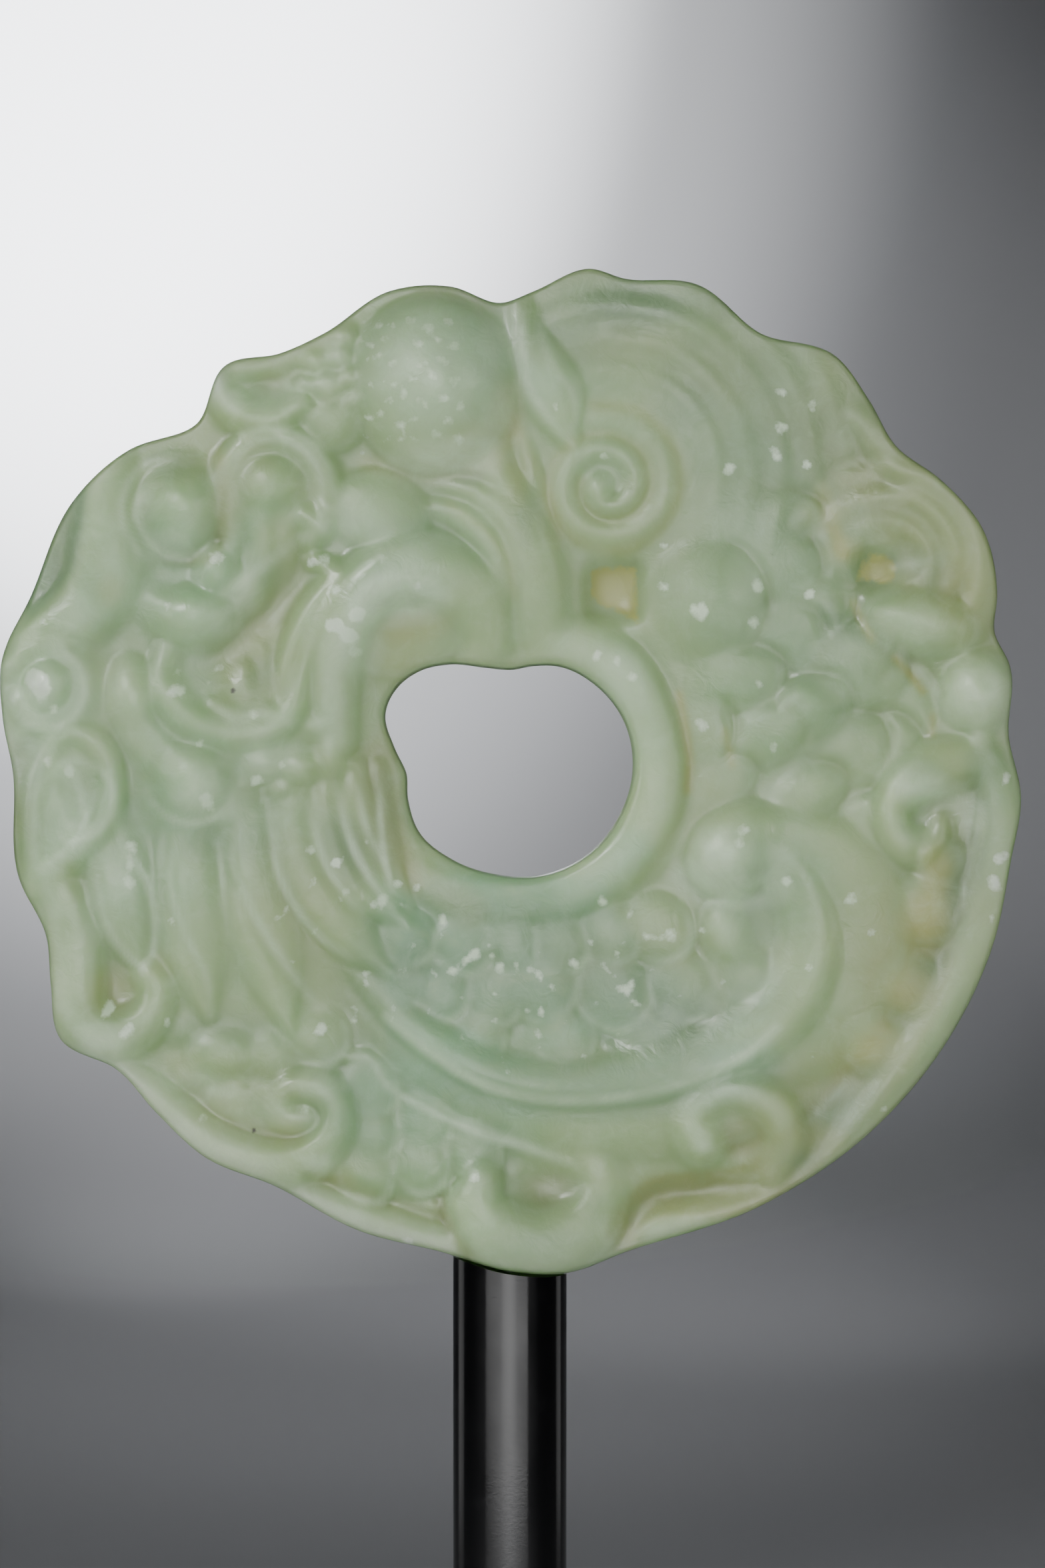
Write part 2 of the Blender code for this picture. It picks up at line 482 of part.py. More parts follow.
def carve_snout(c):
    """Nostrils, the open mouth with its tongue, and the lip that bends round under it."""
    c.lobe(at=(-52, 24), size=(11, 13), height=0.40, turn=-20, foot=0.1, fullness=0.4)
    c.lobe(at=(-69, 32), size=(5, 6), height=0.62)
    c.lobe(at=(-51, 35), size=(5, 8), height=0.64, turn=-30)
    c.lobe(at=(-61.2, 30), size=(9, 6.8), height=0.88, turn=-4, foot=0.2)
    c.lobe(at=(-57, 38.6), size=(5, 5.6), height=0.80, foot=0.3)
    c.groove(((-59, 19.6), (-53.4, 26.6), (-47, 31.4), (-42, 38), (-40.6, 44)), width=2.4,
             depth=(0.1, 0.2, 0.2, 0.14))
    lip = ((-67, 23), (-67.4, 17), (-63, 10.6), (-55, 7.2), (-47, 8), (-42.4, 12), (-41, 19))
    c.band(lip, width=(3.4, 4.2, 3.8, 3.6, 2.8), height=(0.6, 0.80, 0.78, 0.76, 0.66), foot=0.15)
    c.band(((-58, 13.4), (-52.6, 10.6), (-47, 12)), width=1.6, height=0.7, foot=0.3)
    c.lobe(at=(-51.8, 17.6), size=(3, 6.8), height=0.62, foot=0)
    c.band(((-48, 14), (-47.8, 19), (-48.6, 24)), width=1.6, height=0.52, foot=0)
    for shift in (0, 3.2):
        strand = ((-44.4 + shift, 12), (-43.2 + shift, 22), (-39.6 + shift, 31), (-33.6 + shift, 39.6))
        c.band(strand, width=(1.4, 2.2, 2.2, 1.4), height=(0.55, 0.70, 0.74, 0.66), foot=0.3)


def carve_pearl(c):
    """The flaming pearl at the top, and the leaf beside it."""
    c.band(((1.5, 90), (3.4, 83), (6.8, 75.5), (11.6, 64.4)), width=(1.8, 3.0, 5.2, 1.4),
           height=(0.5, 0.74, 0.84, 0.72), foot=0.2, lean=-0.10)
    c.lobe(at=(-15, 84), size=(19, 12), height=0.36, foot=0)
    c.lobe(at=(-15, 75.5), size=(16.5, 17.8), height=0.96, foot=0.2, fullness=0.42)
    c.groove(((-29, 86), (-24, 91), (-15, 93.6), (-7, 91), (-3, 87)), width=(0.6, 1.5, 1.5, 0.6),
             depth=(0, 0.1, 0.1, 0))


def carved_height(x, z):
    """Height over the plate at each place, in shares of the relief's depth, later forms on top."""
    carving = Carving(x, z, GROUND_SHARE)
    motifs = (carve_masses, carve_body, carve_great_scroll, carve_right_comma, carve_scales, carve_ring,
              carve_rim, carve_right_curl, carve_lower_right, carve_belly, carve_bottom_curl,
              carve_lower_left,
              carve_left_hook, carve_mane, carve_throat, carve_ear, carve_left_scroll, carve_eyes,
              carve_clouds,
              carve_neck, carve_snout, carve_pearl)
    for motif in motifs:
        motif(carving)
    return np.clip(carving.height, 0, 1)


def carved_relief(x, z):
    """Height over the plate in metres, softened to the width of the chisel that cut it."""
    units = UNITS_PER_RADIUS / DISC_RADIUS
    turns = np.radians(np.arange(0, 360, 60))
    total = carved_height(x * units, z * units)
    for turn in turns:
        aside = CHISEL_WIDTH / 2 * math.cos(turn)
        above = CHISEL_WIDTH / 2 * math.sin(turn)
        total += carved_height((x + aside) * units, (z + above) * units)
    return total / (len(turns) + 1) * RELIEF_DEPTH


def ring_section():
    """Stops round the ring's section: across the face, over the rim, back, and up the hole's wall.

    The first number runs from 1 at the hole to 2 at the rim, the second from -1, face, to 1, back.
    """
    def spread(count):
        even = np.linspace(0, 1, count + 1)
        crowded = 0.5 - 0.5 * np.cos(np.pi * even)
        return 1 + 0.45 * even + 0.55 * crowded

    rows = np.linspace(-1, 1, EDGE_ROWS + 1)[1:-1]
    face = [(r, -1.0) for r in spread(FACE_RINGS)]
    rim = [(2.0, y) for y in rows]
    back = [(r, 1.0) for r in reversed(spread(BACK_RINGS))]
    wall = [(1.0, y) for y in reversed(rows)]
    return face + rim + back + wall


def jade_roundel(material):
    """A ring is spun from its section, and each point then moves to its place on the carving."""
    bm = bmesh.new()
    stops = [bm.verts.new((r, y, 0)) for r, y in ring_section()]
    edges = [bm.edges.new(pair) for pair in zip(stops, stops[1:] + stops[:1])]
    bmesh.ops.spin(bm, geom=stops + edges, cent=(0, 0, 0), axis=(0, 1, 0), angle=2 * math.pi, steps=SECTORS,
                   use_merge=True)
    bmesh.ops.remove_doubles(bm, verts=bm.verts, dist=1e-6)
    bmesh.ops.recalc_face_normals(bm, faces=bm.faces)
    item = add_object("jade_roundel", bm, material)
    mesh = item.data
    points = np.empty(len(mesh.vertices) * 3)
    mesh.vertices.foreach_get("co", points)
    points = points.reshape(-1, 3)
    points[:] = place_on_roundel(points)
    mesh.vertices.foreach_set("co", points.ravel())
    mesh.update()
    item.location = (0, DISC_SETBACK, centre_height())
    facets = item.modifiers.new("facets", "DECIMATE")
    facets.decimate_type = "COLLAPSE"
    facets.use_collapse_triangulate = True
    facets.ratio = ROUNDEL_TRIANGLES / (2 * len(mesh.polygons))
    return item


def place_on_roundel(points):
    """Maps the spun ring to the roundel, in metres from the roundel's centre."""
    angle = np.degrees(np.arctan2(points[:, 2], points[:, 0]))
    across = np.hypot(points[:, 0], points[:, 2]) - 1
    side = points[:, 1]
    rounding = np.sqrt(np.maximum(1 - side ** 2, 0)) - 1
    rim = round_edge(RIM, angle) * DISC_RADIUS + rounding * EDGE_BULGE
    hole = round_edge(HOLE, angle) * DISC_RADIUS - rounding * EDGE_BULGE
    far = hole + (rim - hole) * across
    x = far * np.cos(np.radians(angle))
    z = far * np.sin(np.radians(angle))
    inset = np.minimum((rim - far) / RIM_ROUNDING, (far - hole) / HOLE_ROUNDING)
    swell = np.sqrt(1 - (1 - np.clip(inset, 0, 1)) ** 2)
    relief = np.zeros_like(x)
    face = side < -0.5
    relief[face] = carved_relief(x[face], z[face])
    front = EDGE_THICKNESS / 2 + (PLATE_THICKNESS / 2 - EDGE_THICKNESS / 2 + relief) * swell
    back = EDGE_THICKNESS / 2 + (PLATE_THICKNESS / 2 - EDGE_THICKNESS / 2) * swell
    y = np.where(side < 0, side * front, side * back)
    return np.stack([x, y, z], 1)


def saddle_cutter():
    """The roundel's outline, grown by the gap, as a thick plate that hollows the rod's top."""
    bm = bmesh.new()
    bmesh.ops.create_circle(bm, cap_ends=True, segments=SECTORS, radius=1)
    for v in bm.verts:
        angle = math.atan2(v.co.y, v.co.x)
        far = float(round_edge(RIM, np.array([math.degrees(angle)]))[0]) * DISC_RADIUS + GAP
        v.co = (far * math.cos(angle), -ROD_DIAMETER, far * math.sin(angle))
    grown = bmesh.ops.extrude_face_region(bm, geom=bm.faces[:])
    lifted = [v for v in grown["geom"] if isinstance(v, bmesh.types.BMVert)]
    bmesh.ops.translate(bm, vec=(0, 2 * ROD_DIAMETER, 0), verts=lifted)
    bmesh.ops.recalc_face_normals(bm, faces=bm.faces)
    item = add_object("saddle_cutter", bm)
    item.location = (0, 0, centre_height())
    item.hide_render = True
    item.display_type = "WIRE"
    return item


def stand_rod(material, cutter):
    """A solid round rod from the bottom of its socket up to the roundel's lower edge."""
    bottom = FOOT_HEIGHT - SOCKET_DEPTH + GAP
    length = centre_height() - 0.5 * DISC_RADIUS - bottom
    bm = bmesh.new()
    bmesh.ops.create_cone(bm, cap_ends=True, segments=ROD_SIDES, radius1=ROD_DIAMETER / 2,
                          radius2=ROD_DIAMETER / 2, depth=length)
    item = add_object("stand_rod", bm, material)
    item.location = (0, 0, bottom + length / 2)
    cut = item.modifiers.new("saddle", "BOOLEAN")
    cut.operation = "DIFFERENCE"
    cut.solver = "EXACT"
    cut.object = cutter
    return item


def stand_foot(material):
    """A turned disc with a rounded upper edge and a socket for the rod."""
    radius = FOOT_DIAMETER / 2
    socket = ROD_DIAMETER / 2 + GAP
    floor = FOOT_HEIGHT - SOCKET_DEPTH
    bm = bmesh.new()
    profile = ((0, 0), (radius, 0), (radius, FOOT_HEIGHT), (socket, FOOT_HEIGHT), (socket, floor),
               (0, floor))
    stops = [bm.verts.new((x, 0, z)) for x, z in profile]
    edges = [bm.edges.new(pair) for pair in zip(stops, stops[1:])]
    bmesh.ops.spin(bm, geom=stops + edges, cent=(0, 0, 0), axis=(0, 0, 1), angle=2 * math.pi,
                   steps=FOOT_SIDES,
                   use_merge=True)
    bmesh.ops.remove_doubles(bm, verts=bm.verts, dist=1e-6)
    upper = [e for e in bm.edges
             if all(v.co.z > FOOT_HEIGHT - GAP and v.co.length > 0.9 * radius for v in e.verts)]
    bmesh.ops.bevel(bm, geom=upper, offset=FOOT_ROUNDING, segments=3, profile=0.5, affect="EDGES",
                    material=-1)
    bmesh.ops.recalc_face_normals(bm, faces=bm.faces)
    item = add_object("stand_foot", bm, material)
    item.data.shade_smooth()
    item.data.set_sharp_from_angle(angle=math.radians(40))
    return item


clear_scene()
jade = finish("jade", colour=(0.33, 0.42, 0.30), roughness=0.35)
black = finish("black_gloss", colour=(0.01, 0.01, 0.011), roughness=0.12)
roundel = jade_roundel(jade)
roundel.data.shade_smooth()
rod = stand_rod(black, saddle_cutter())
rod.data.shade_smooth()
rod.data.set_sharp_from_angle(angle=math.radians(40))
stand_foot(black)
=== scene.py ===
"""Looks of the carved jade roundel on its black stand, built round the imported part.

Metres, in the part's own frame: +Z up, the carved face towards -Y, and the origin under the foot.
The roundel and the rod are modelled again with finer meshes, and the foot keeps the part's solid
form with a smoother edge. Each section builds one piece, from top to bottom of the object.
"""
import math

import bmesh
import bpy
import numpy as np
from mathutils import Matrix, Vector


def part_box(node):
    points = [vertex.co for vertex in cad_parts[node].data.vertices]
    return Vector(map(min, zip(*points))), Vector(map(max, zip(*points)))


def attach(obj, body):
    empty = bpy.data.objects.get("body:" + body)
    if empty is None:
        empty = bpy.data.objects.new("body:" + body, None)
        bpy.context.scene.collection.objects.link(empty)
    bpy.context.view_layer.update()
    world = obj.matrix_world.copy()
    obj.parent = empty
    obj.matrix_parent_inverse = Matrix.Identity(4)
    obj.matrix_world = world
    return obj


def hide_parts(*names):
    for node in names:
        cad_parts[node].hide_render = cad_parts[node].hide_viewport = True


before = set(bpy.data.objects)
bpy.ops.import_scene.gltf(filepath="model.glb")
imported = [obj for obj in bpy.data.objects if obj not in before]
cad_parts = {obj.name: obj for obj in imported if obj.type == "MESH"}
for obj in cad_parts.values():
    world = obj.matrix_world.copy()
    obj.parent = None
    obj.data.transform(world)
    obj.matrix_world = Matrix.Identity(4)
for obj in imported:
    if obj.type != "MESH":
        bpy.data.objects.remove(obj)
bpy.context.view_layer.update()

# THE JADE ROUNDEL: OUTLINE
# A thick ring of pale green jade, about 54 mm across, sawn and ground to a lobed outline round a
# hole that isn't quite round. Its rim is thin and softly rounded. The outline is fitted to the
# part's solid, so its radius and its centre come from the frame.
RIM = ((4, 0.982), (12, 1.003), (16, 0.990), (20, 1.018), (27, 1.042), (34, 1.020), (40, 0.990),
       (46, 1.014), (52, 1.035), (60, 0.990), (69, 1.023), (77, 0.992), (81, 0.998), (87, 0.944),
       (91, 0.919), (97, 0.958), (104, 0.971), (113, 0.933), (119, 0.936), (125, 0.972),
       (132, 0.918), (140, 0.978), (148, 1.007), (160, 1.001), (168, 1.020), (174, 1.001),
       (180, 0.976), (192, 0.987), (200, 0.967), (205, 0.994), (211, 1.027), (217, 0.970),
       (224, 0.965), (232, 0.965), (240, 0.937), (252, 0.950), (262, 0.954), (270, 0.982),
       (276, 0.992), (284, 0.971), (300, 0.986), (316, 1.003), (340, 1.008), (350, 0.999),
       (357, 1.005))
HOLE = ((0, 0.241), (24, 0.244), (44, 0.238), (64, 0.227), (78, 0.210), (88, 0.199), (104, 0.209),
        (120, 0.241), (132, 0.264), (144, 0.275), (156, 0.268), (168, 0.233), (180, 0.205),
        (196, 0.208), (214, 0.215), (236, 0.208), (262, 0.205), (290, 0.215), (316, 0.225),
        (340, 0.233))

# THE JADE ROUNDEL: CARVING
# A coiled dragon with a pearl and clouds, ground into the face with drills and abrasive. Places
# and widths are in hundredths of the radius from the roundel's centre, x to the right and z up.
# Heights are shares of the relief's depth. Each function carves one part of the dragon.
GROUND_SHARE = 0.33
CREASE_SOFTNESS = 0.09
PATH_STEPS = 12
OVAL_MARGIN = 1.5
PATCH_MARGIN = 3

# Broad forms get a painted highlight, a pale line just inside their outline, scales get one along their
# free edge, and grooves get painted shade in a mossy tone. The stone's other tones, and more painted
# shade and highlights, are laid on by the functions that stain it.
EDGE_HIGHLIGHT = 0.4
EDGE_HIGHLIGHT_INSET = 0.8
THIN_FORM = 2.5
BROAD_FORM = 5.5
SCALE_EDGE_SHARE = 0.86
GROOVE_SHADE = 2.0
FAN_FLECKS = 70
PEARL_FLECKS = 44
STAINS = ("teal", "moss_and_shade", "shade", "amber", "milk_and_highlight", "tan", "fleck_and_glint", "grit")


def round_edge(stations, angle):
    """Distance from the centre at each angle, on a smooth closed curve through the stations."""
    at, far = np.array(stations, float).T
    at = np.concatenate([at[-2:] - 360, at, at[:3] + 360])
    far = np.concatenate([far[-2:], far, far[:3]])
    slope = np.gradient(far, at)
    turn = np.mod(angle - at[1], 360) + at[1]
    i = np.searchsorted(at, turn, side="right") - 1
    span = at[i + 1] - at[i]
    s = (turn - at[i]) / span
    start = (1 + 2 * s) * (1 - s) ** 2 * far[i] + s * (1 - s) ** 2 * span * slope[i]
    end = s ** 2 * (3 - 2 * s) * far[i + 1] - s ** 2 * (1 - s) * span * slope[i + 1]
    return start + end


def smooth_path(points):
    """Points along a smooth curve through the given ones."""
    p = np.array(points, float)
    ends = np.vstack([2 * p[0] - p[1], p, 2 * p[-1] - p[-2]])
    path = [p[0]]
    for before, a, b, after in zip(ends, ends[1:], ends[2:], ends[3:]):
        for t in np.arange(1, PATH_STEPS + 1) / PATH_STEPS:
            bend = 2 * before - 5 * a + 4 * b - after
            twist = 3 * a - before - 3 * b + after
            path.append(a + 0.5 * ((b - before) * t + bend * t ** 2 + twist * t ** 3))
    return np.array(path)


def spiral(at, radius, start, end, stops=9):
    """Stops along a circle's arc, or along a spiral where the radius is a pair."""
    inner, outer = radius if isinstance(radius, tuple) else (radius, radius)
    share = np.linspace(0, 1, stops)
    turn = np.radians(start + (end - start) * share)
    far = inner + (outer - inner) * share
    return np.stack([at[0] + far * np.cos(turn), at[1] + far * np.sin(turn)], 1)


def along(value, share):
    """A size that may change along a path: one number, or several, evenly spaced."""
    if np.isscalar(value):
        return np.full_like(share, float(value))
    stops = smooth_path([(i, size) for i, size in enumerate(value)])
    return np.interp(share * (len(value) - 1), stops[:, 0], stops[:, 1])


class Carving:
    """Height and stains of the carved face on an even grid of places, kept row after row."""

    def __init__(self, stops, ground):
        """The bare ground, at one height and without stains."""
        self.stops = stops
        x, z = np.meshgrid(stops, stops)
        self.x = x.ravel()
        self.z = z.ravel()
        self.height = np.full_like(self.x, float(ground))
        self.stains = {name: np.zeros_like(self.x) for name in STAINS}

    def window(self, low, high):
        """The grid's places inside a box."""
        columns = np.arange(*np.searchsorted(self.stops, (low[0], high[0])))
        rows = np.arange(*np.searchsorted(self.stops, (low[1], high[1])))
        return (rows[:, None] * len(self.stops) + columns).ravel()

    def join(self, where, top, inside, width):
        """Lets a form stand out of what is there, with a soft crease round it and a painted highlight as
        a thin pale edge.
        """
        below = self.height[where]
        overlap = np.maximum(CREASE_SOFTNESS - np.abs(below - top), 0) / CREASE_SOFTNESS
        self.height[where] = np.maximum(below, top) + overlap ** 2 * CREASE_SOFTNESS / 4
        # Painted highlight: a thin pale line just inside the outline of broad forms.
        broad = np.clip((width - THIN_FORM) / (BROAD_FORM - THIN_FORM), 0, 1)
        edge = np.clip(1 - np.abs(inside - EDGE_HIGHLIGHT_INSET) / EDGE_HIGHLIGHT_INSET, 0, 1)
        milk_and_highlight = self.stains["milk_and_highlight"]
        milk_and_highlight[where] = np.where(top > below, EDGE_HIGHLIGHT * broad * edge, milk_and_highlight[where])

    def oval(self, at, size, turn, corners=2):
        """Places in an oval, how far out they are, and their share along it. High corners square it."""
        length, width = size if isinstance(size, tuple) else (size, size)
        c = math.cos(math.radians(turn))
        s = math.sin(math.radians(turn))
        span = OVAL_MARGIN * max(length, width)
        where = self.window((at[0] - span, at[1] - span), (at[0] + span, at[1] + span))
        right = self.x[where] - at[0]
        up = self.z[where] - at[1]
        p = (right * c + up * s) / length
        q = (up * c - right * s) / width
        reach = np.abs(p) ** corners + np.abs(q) ** corners
        inside = reach < 1
        return where[inside], reach[inside], p[inside]

    def lobe(self, at, size, height, turn=0, foot=0.1, fullness=0.45, lean=0.0):
        """An oval dome, which may lean: then it is higher at one end."""
        where, reach, share = self.oval(at, size, turn)
        rise = (height - foot) * (1 - reach) ** fullness
        half = np.min(size)
        self.join(where, foot + rise * (1 + lean * share), (1 - np.sqrt(reach)) * half, half)

    def lobes(self, rows, **form):
        """Several lobes. A row has the place, both half widths, the height and perhaps the turn."""
        for x, z, length, width, height, *turn in rows:
            self.lobe((x, z), (length, width), height, *turn, **form)

    def scale(self, at, size, turn, height, edge=0.9):
        """A flat scale whose free edge, towards its turn, has a painted highlight and a fine cut outside
        it.
        """
        self.lobe(at, size, height, turn, foot=0.26, fullness=0.35, lean=0.10)
        length, width = size
        c = math.cos(math.radians(turn))
        s = math.sin(math.radians(turn))
        cut = []
        highlight = []
        for t in range(-75, 76, 25):
            p = length * math.cos(math.radians(t))
            q = width * math.sin(math.radians(t))
            cut.append((at[0] + p * c - q * s, at[1] + p * s + q * c))
            highlight.append((at[0] + SCALE_EDGE_SHARE * (p * c - q * s),
                         at[1] + SCALE_EDGE_SHARE * (p * s + q * c)))
        self.groove(cut, width=1.2, depth=(0.02, 0.13, 0.13, 0.02))
        # Painted highlight along the free edge; the cut outside it gets painted shade from the groove.
        self.streak("milk_and_highlight", highlight, width=1.1, strength=(0.2 * edge, edge, edge, 0.2 * edge))

    def patch(self, stain, outline, strength=1.0):
        """A crisp patch inside a convex outline that runs clockwise."""
        corners = np.array(outline, float)
        where = self.window(corners.min(0) - PATCH_MARGIN, corners.max(0) + PATCH_MARGIN)
        depth = np.full(len(where), np.inf)
        for a, b in zip(corners, np.roll(corners, -1, axis=0)):
            step = (b - a) / np.hypot(*(b - a))
            inside = (self.z[where] - a[1]) * -step[0] + (self.x[where] - a[0]) * step[1]
            depth = np.minimum(depth, inside)
        shade = strength * np.clip(0.5 + depth / 2, 0, 1)
        self.stains[stain][where] = np.maximum(self.stains[stain][where], shade)

    def near(self, path, width):
        """The places in reach of a path, how far out they are, their share along it, and their side."""
        path = smooth_path(path)
        widest = np.max(width)
        where = self.window(path.min(0) - widest, path.max(0) + widest)
        spot = np.stack([self.x[where], self.z[where]], 1)
        steps = np.diff(path, axis=0)
        lengths = np.maximum(np.hypot(steps[:, 0], steps[:, 1]), 1e-9)
        starts = np.concatenate([[0], np.cumsum(lengths)])
        away = np.full(len(where), np.inf)
        share = np.zeros(len(where))
        side = np.zeros(len(where))
        for first in range(0, len(steps), PATH_STEPS):
            run_of = slice(first, first + PATH_STEPS)
            ends = path[first:first + PATH_STEPS + 1]
            low = ends.min(0) - widest
            high = ends.max(0) + widest
            close = np.flatnonzero(np.all((spot > low) & (spot < high), axis=1))
            for a, step, length, start in zip(path[run_of], steps[run_of], lengths[run_of],
                                              starts[run_of]):
                run = np.clip((spot[close] - a) @ step / length, 0, length)
                off = spot[close] - a - run[:, None] * step / length
                distance = np.hypot(off[:, 0], off[:, 1])
                nearer = distance < away[close]
                found = close[nearer]
                away[found] = distance[nearer]
                share[found] = (start + run[nearer]) / starts[-1]
                side[found] = np.sign(step[0] * off[nearer, 1] - step[1] * off[nearer, 0])
        reach = away / np.maximum(along(width, share), 1e-6)
        inside = reach < 1
        return where[inside], reach[inside], share[inside], side[inside]

    def band(self, path, width, height, foot=0.1, fullness=0.45, lean=0.0):
        """A rounded ridge along a path. Its sizes may change, and it may lean to its left."""
        where, reach, share, side = self.near(path, width)
        rise = (along(height, share) - foot) * (1 - reach ** 3) ** fullness
        half = along(width, share)
        self.join(where, foot + rise * (1 + lean * side * reach), (1 - reach) * half, half)

    def groove(self, path, width, depth):
        """A soft hollow along a path, darkened in it with painted shade in a mossy tone."""
        where, reach, share, _ = self.near(path, width)
        self.height[where] -= along(depth, share) * (1 - reach ** 2) ** 1.5
        # Painted shade: the mossy tone grows with the groove's depth.
        self.stains["moss_and_shade"][where] += GROOVE_SHADE * along(depth, share) * (1 - reach ** 2)

    def pit(self, at, size, depth, turn=0, corners=2):
        """A soft hollow: oval, or nearly square where corners is high."""
        where, reach, _ = self.oval(at, size, turn, corners)
        self.height[where] -= depth * (1 - reach) ** 1.2

    def ripples(self, at, near, far, pitch, fan, depth):
        """Rounded ripples about a centre, which fade out towards the ends of their fan."""
        right = self.x - at[0]
        up = self.z - at[1]
        out = np.hypot(right, up)
        turn = np.mod(np.degrees(np.arctan2(up, right)) - fan[0], 360) / (fan[1] - fan[0])
        where = np.flatnonzero((out > near) & (out < far) & (turn < 1))
        out = out[where]
        turn = turn[where]
        fade = np.clip((far - out) / pitch, 0, 1) * np.clip((out - near) / pitch, 0, 1)
        fade *= np.sin(math.pi * turn) ** 0.5
        self.height[where] += depth * fade * np.cos(2 * math.pi * (out - near) / pitch)

    def dab(self, stain, at, size, strength=1.0, turn=0):
        """A soft oval patch of a stain in the stone."""
        where, reach, _ = self.oval(at, size, turn)
        self.stains[stain][where] += strength * (1 - reach)

    def dabs(self, stain, rows):
        """Several dabs. A row has the place, both half widths, the strength and perhaps the turn."""
        for x, z, length, width, strength, *turn in rows:
            self.dab(stain, (x, z), (length, width), strength, *turn)

    def streak(self, stain, path, width, strength=1.0):
        """A soft streak of a stain along a path."""
        where, reach, share, _ = self.near(path, width)
        self.stains[stain][where] += along(strength, share) * (1 - reach ** 2)

    def streaks(self, stain, rows):
        """Several streaks. A row has the path, the half width and the strength."""
        for path, width, strength in rows:
            self.streak(stain, path, width, strength)


def carve_masses(c):
    """Broad swellings that carry the finer forms: head, mane, coiled body, upper arcs and belly."""
    c.lobes((
        (-58, 36, 40, 44, 0.46, -20), (-54, -20, 32, 36, 0.50, 12), (54, 20, 38, 36, 0.44),
        (32, 68, 42, 30, 0.42, -20), (22, -50, 56, 28, 0.40, 6)), foot=0.2, fullness=0.4)
    c.lobes((
        (-53, 9, 19, 13, 0.62), (-88, 13, 13, 16, 0.58), (-87, -5, 12, 16, 0.58), (-22, 30, 14, 12, 0.52),
        (-62, -2, 13, 13, 0.62)), foot=0.3, fullness=0.4)


def carve_body(c):
    """The coiled body to the right of the hole: broad scales whose free edges point up and right."""
    bumps = (
        ((47, 48), (15, 7), 0.46, 10), ((60, 40), (9, 7), 0.48, 0), ((52, 40), (9, 8), 0.50, 0),
        ((38, 33), (12.6, 12.6), 0.58, 0), ((60, 32), (8, 7), 0.52, 0), ((54, 26), (8, 7), 0.50, 0),
        ((76, 14), (8, 9), 0.46, 40), ((69, 18), (10, 8), 0.54, 40), ((66, 22), (10, 7), 0.54, 30),
        ((44, 18), (10.5, 6.6), 0.56, 10), ((73, 4), (8, 8), 0.48, 40), ((58, 11), (10, 7), 0.60, 35),
        ((66, 4), (9, 7), 0.52, 40), ((48, 6), (10, 6.4), 0.54, 20), ((39, 8), (5, 7), 0.48, 0),
        ((58, -4.5), (8.6, 5.6), 0.58, 25), ((70, -10), (7, 6), 0.50, 45), ((42, -2), (7, 5), 0.46, 20))
    for at, size, height, turn in bumps:
        c.scale(at, size, turn, height, edge=0.2)
    c.lobe(at=(38.4, 33), size=(11, 11), height=0.70, foot=0.3, fullness=0.6)
    c.lobe(at=(52.4, 8), size=(8, 6.6), height=0.62, turn=30, foot=0.3, fullness=0.6)
    c.lobe(at=(58, 12.6), size=(6.6, 6.2), height=0.66, foot=0.3, fullness=0.6)


def carve_great_scroll(c):
    """The scroll at the top right, with ripples fanned out beside it as far as the shoulder."""
    for at, size in (((15, 90), (15, 9)), ((33, 88), (13, 9)), ((58, 74), (14, 12))):
        c.lobe(at, size, height=0.42)
    c.ripples(at=(20, 58), near=14, far=50, pitch=6.3, fan=(-30, 130), depth=0.022)
    c.band(spiral((19, 55.8), (2.4, 13.2), 170, 820, stops=22), width=(2.2, 3.0, 3.4, 3.6),
           height=(0.57, 0.53, 0.49, 0.45), fullness=0.6)
    c.lobe(at=(17.4, 55), size=(2.6, 3.8), height=0.60, turn=-25)


def carve_right_comma(c):
    """The upper right shoulder: ripples round a deep pit, with a bright lobe under it."""
    c.band(((68, 69), (78, 59), (87, 50), (92, 39), (91, 27)), width=(3, 6, 6, 3),
           height=(0.42, 0.54, 0.54, 0.44))
    c.lobe(at=(76, 45), size=(17, 14), height=0.52, turn=-20, foot=0.2, fullness=0.4)
    c.ripples(at=(73.5, 40.5), near=3, far=25, pitch=5.2, fan=(-50, 165), depth=0.035)
    c.pit(at=(77, 41.4), size=(5, 4.6), depth=0.22)
    c.pit(at=(72, 39), size=(5.4, 5), depth=0.30, corners=3)
    c.lobe(at=(80.4, 29), size=(13, 6.6), height=0.80, turn=-12)
    c.groove(((66, 32), (70, 27), (77, 21), (82, 15), (83, 9)), width=(1, 1.8, 1.8, 0.8),
             depth=(0.02, 0.14, 0.12, 0.02))


def carve_scales(c):
    """Rows of flat scales between the ring and the belly, and a patch of them below it."""
    for at, size, turn in (
            ((0, -34), (7, 6.4), -70), ((10, -34), (7, 6), -60), ((-9, -34), (7, 6.4), -80),
            ((20, -32), (7, 6.6), -50), ((29, -31), (8, 7), -40), ((-20, -33), (6.4, 6), -90),
            ((-21, -41), (6.4, 6.6), -80), ((-13.4, -43), (7, 6.6), -65), ((-3, -44), (7, 6.6), -65),
            ((6, -42), (8.6, 8), -50), ((20.4, -43.4), (9, 7.4), -60), ((34, -42.6), (8, 7), -45),
            ((46, -40), (8, 6), -40), ((-6, -52), (6.4, 6), -60), ((10.6, -52), (8, 6.6), -60),
            ((29, -51.6), (7, 8.6), -60), ((42, -47), (6, 5.4), -45)):
        c.scale(at, size, turn, height=0.50)
    for at in ((-37, -52), (-27, -62), (-27, -70.6), (-16.4, -68.6), (-7, -74), (-28, -79), (-17.4, -77)):
        c.scale(at, size=(6.8, 6), turn=-60, height=0.48)


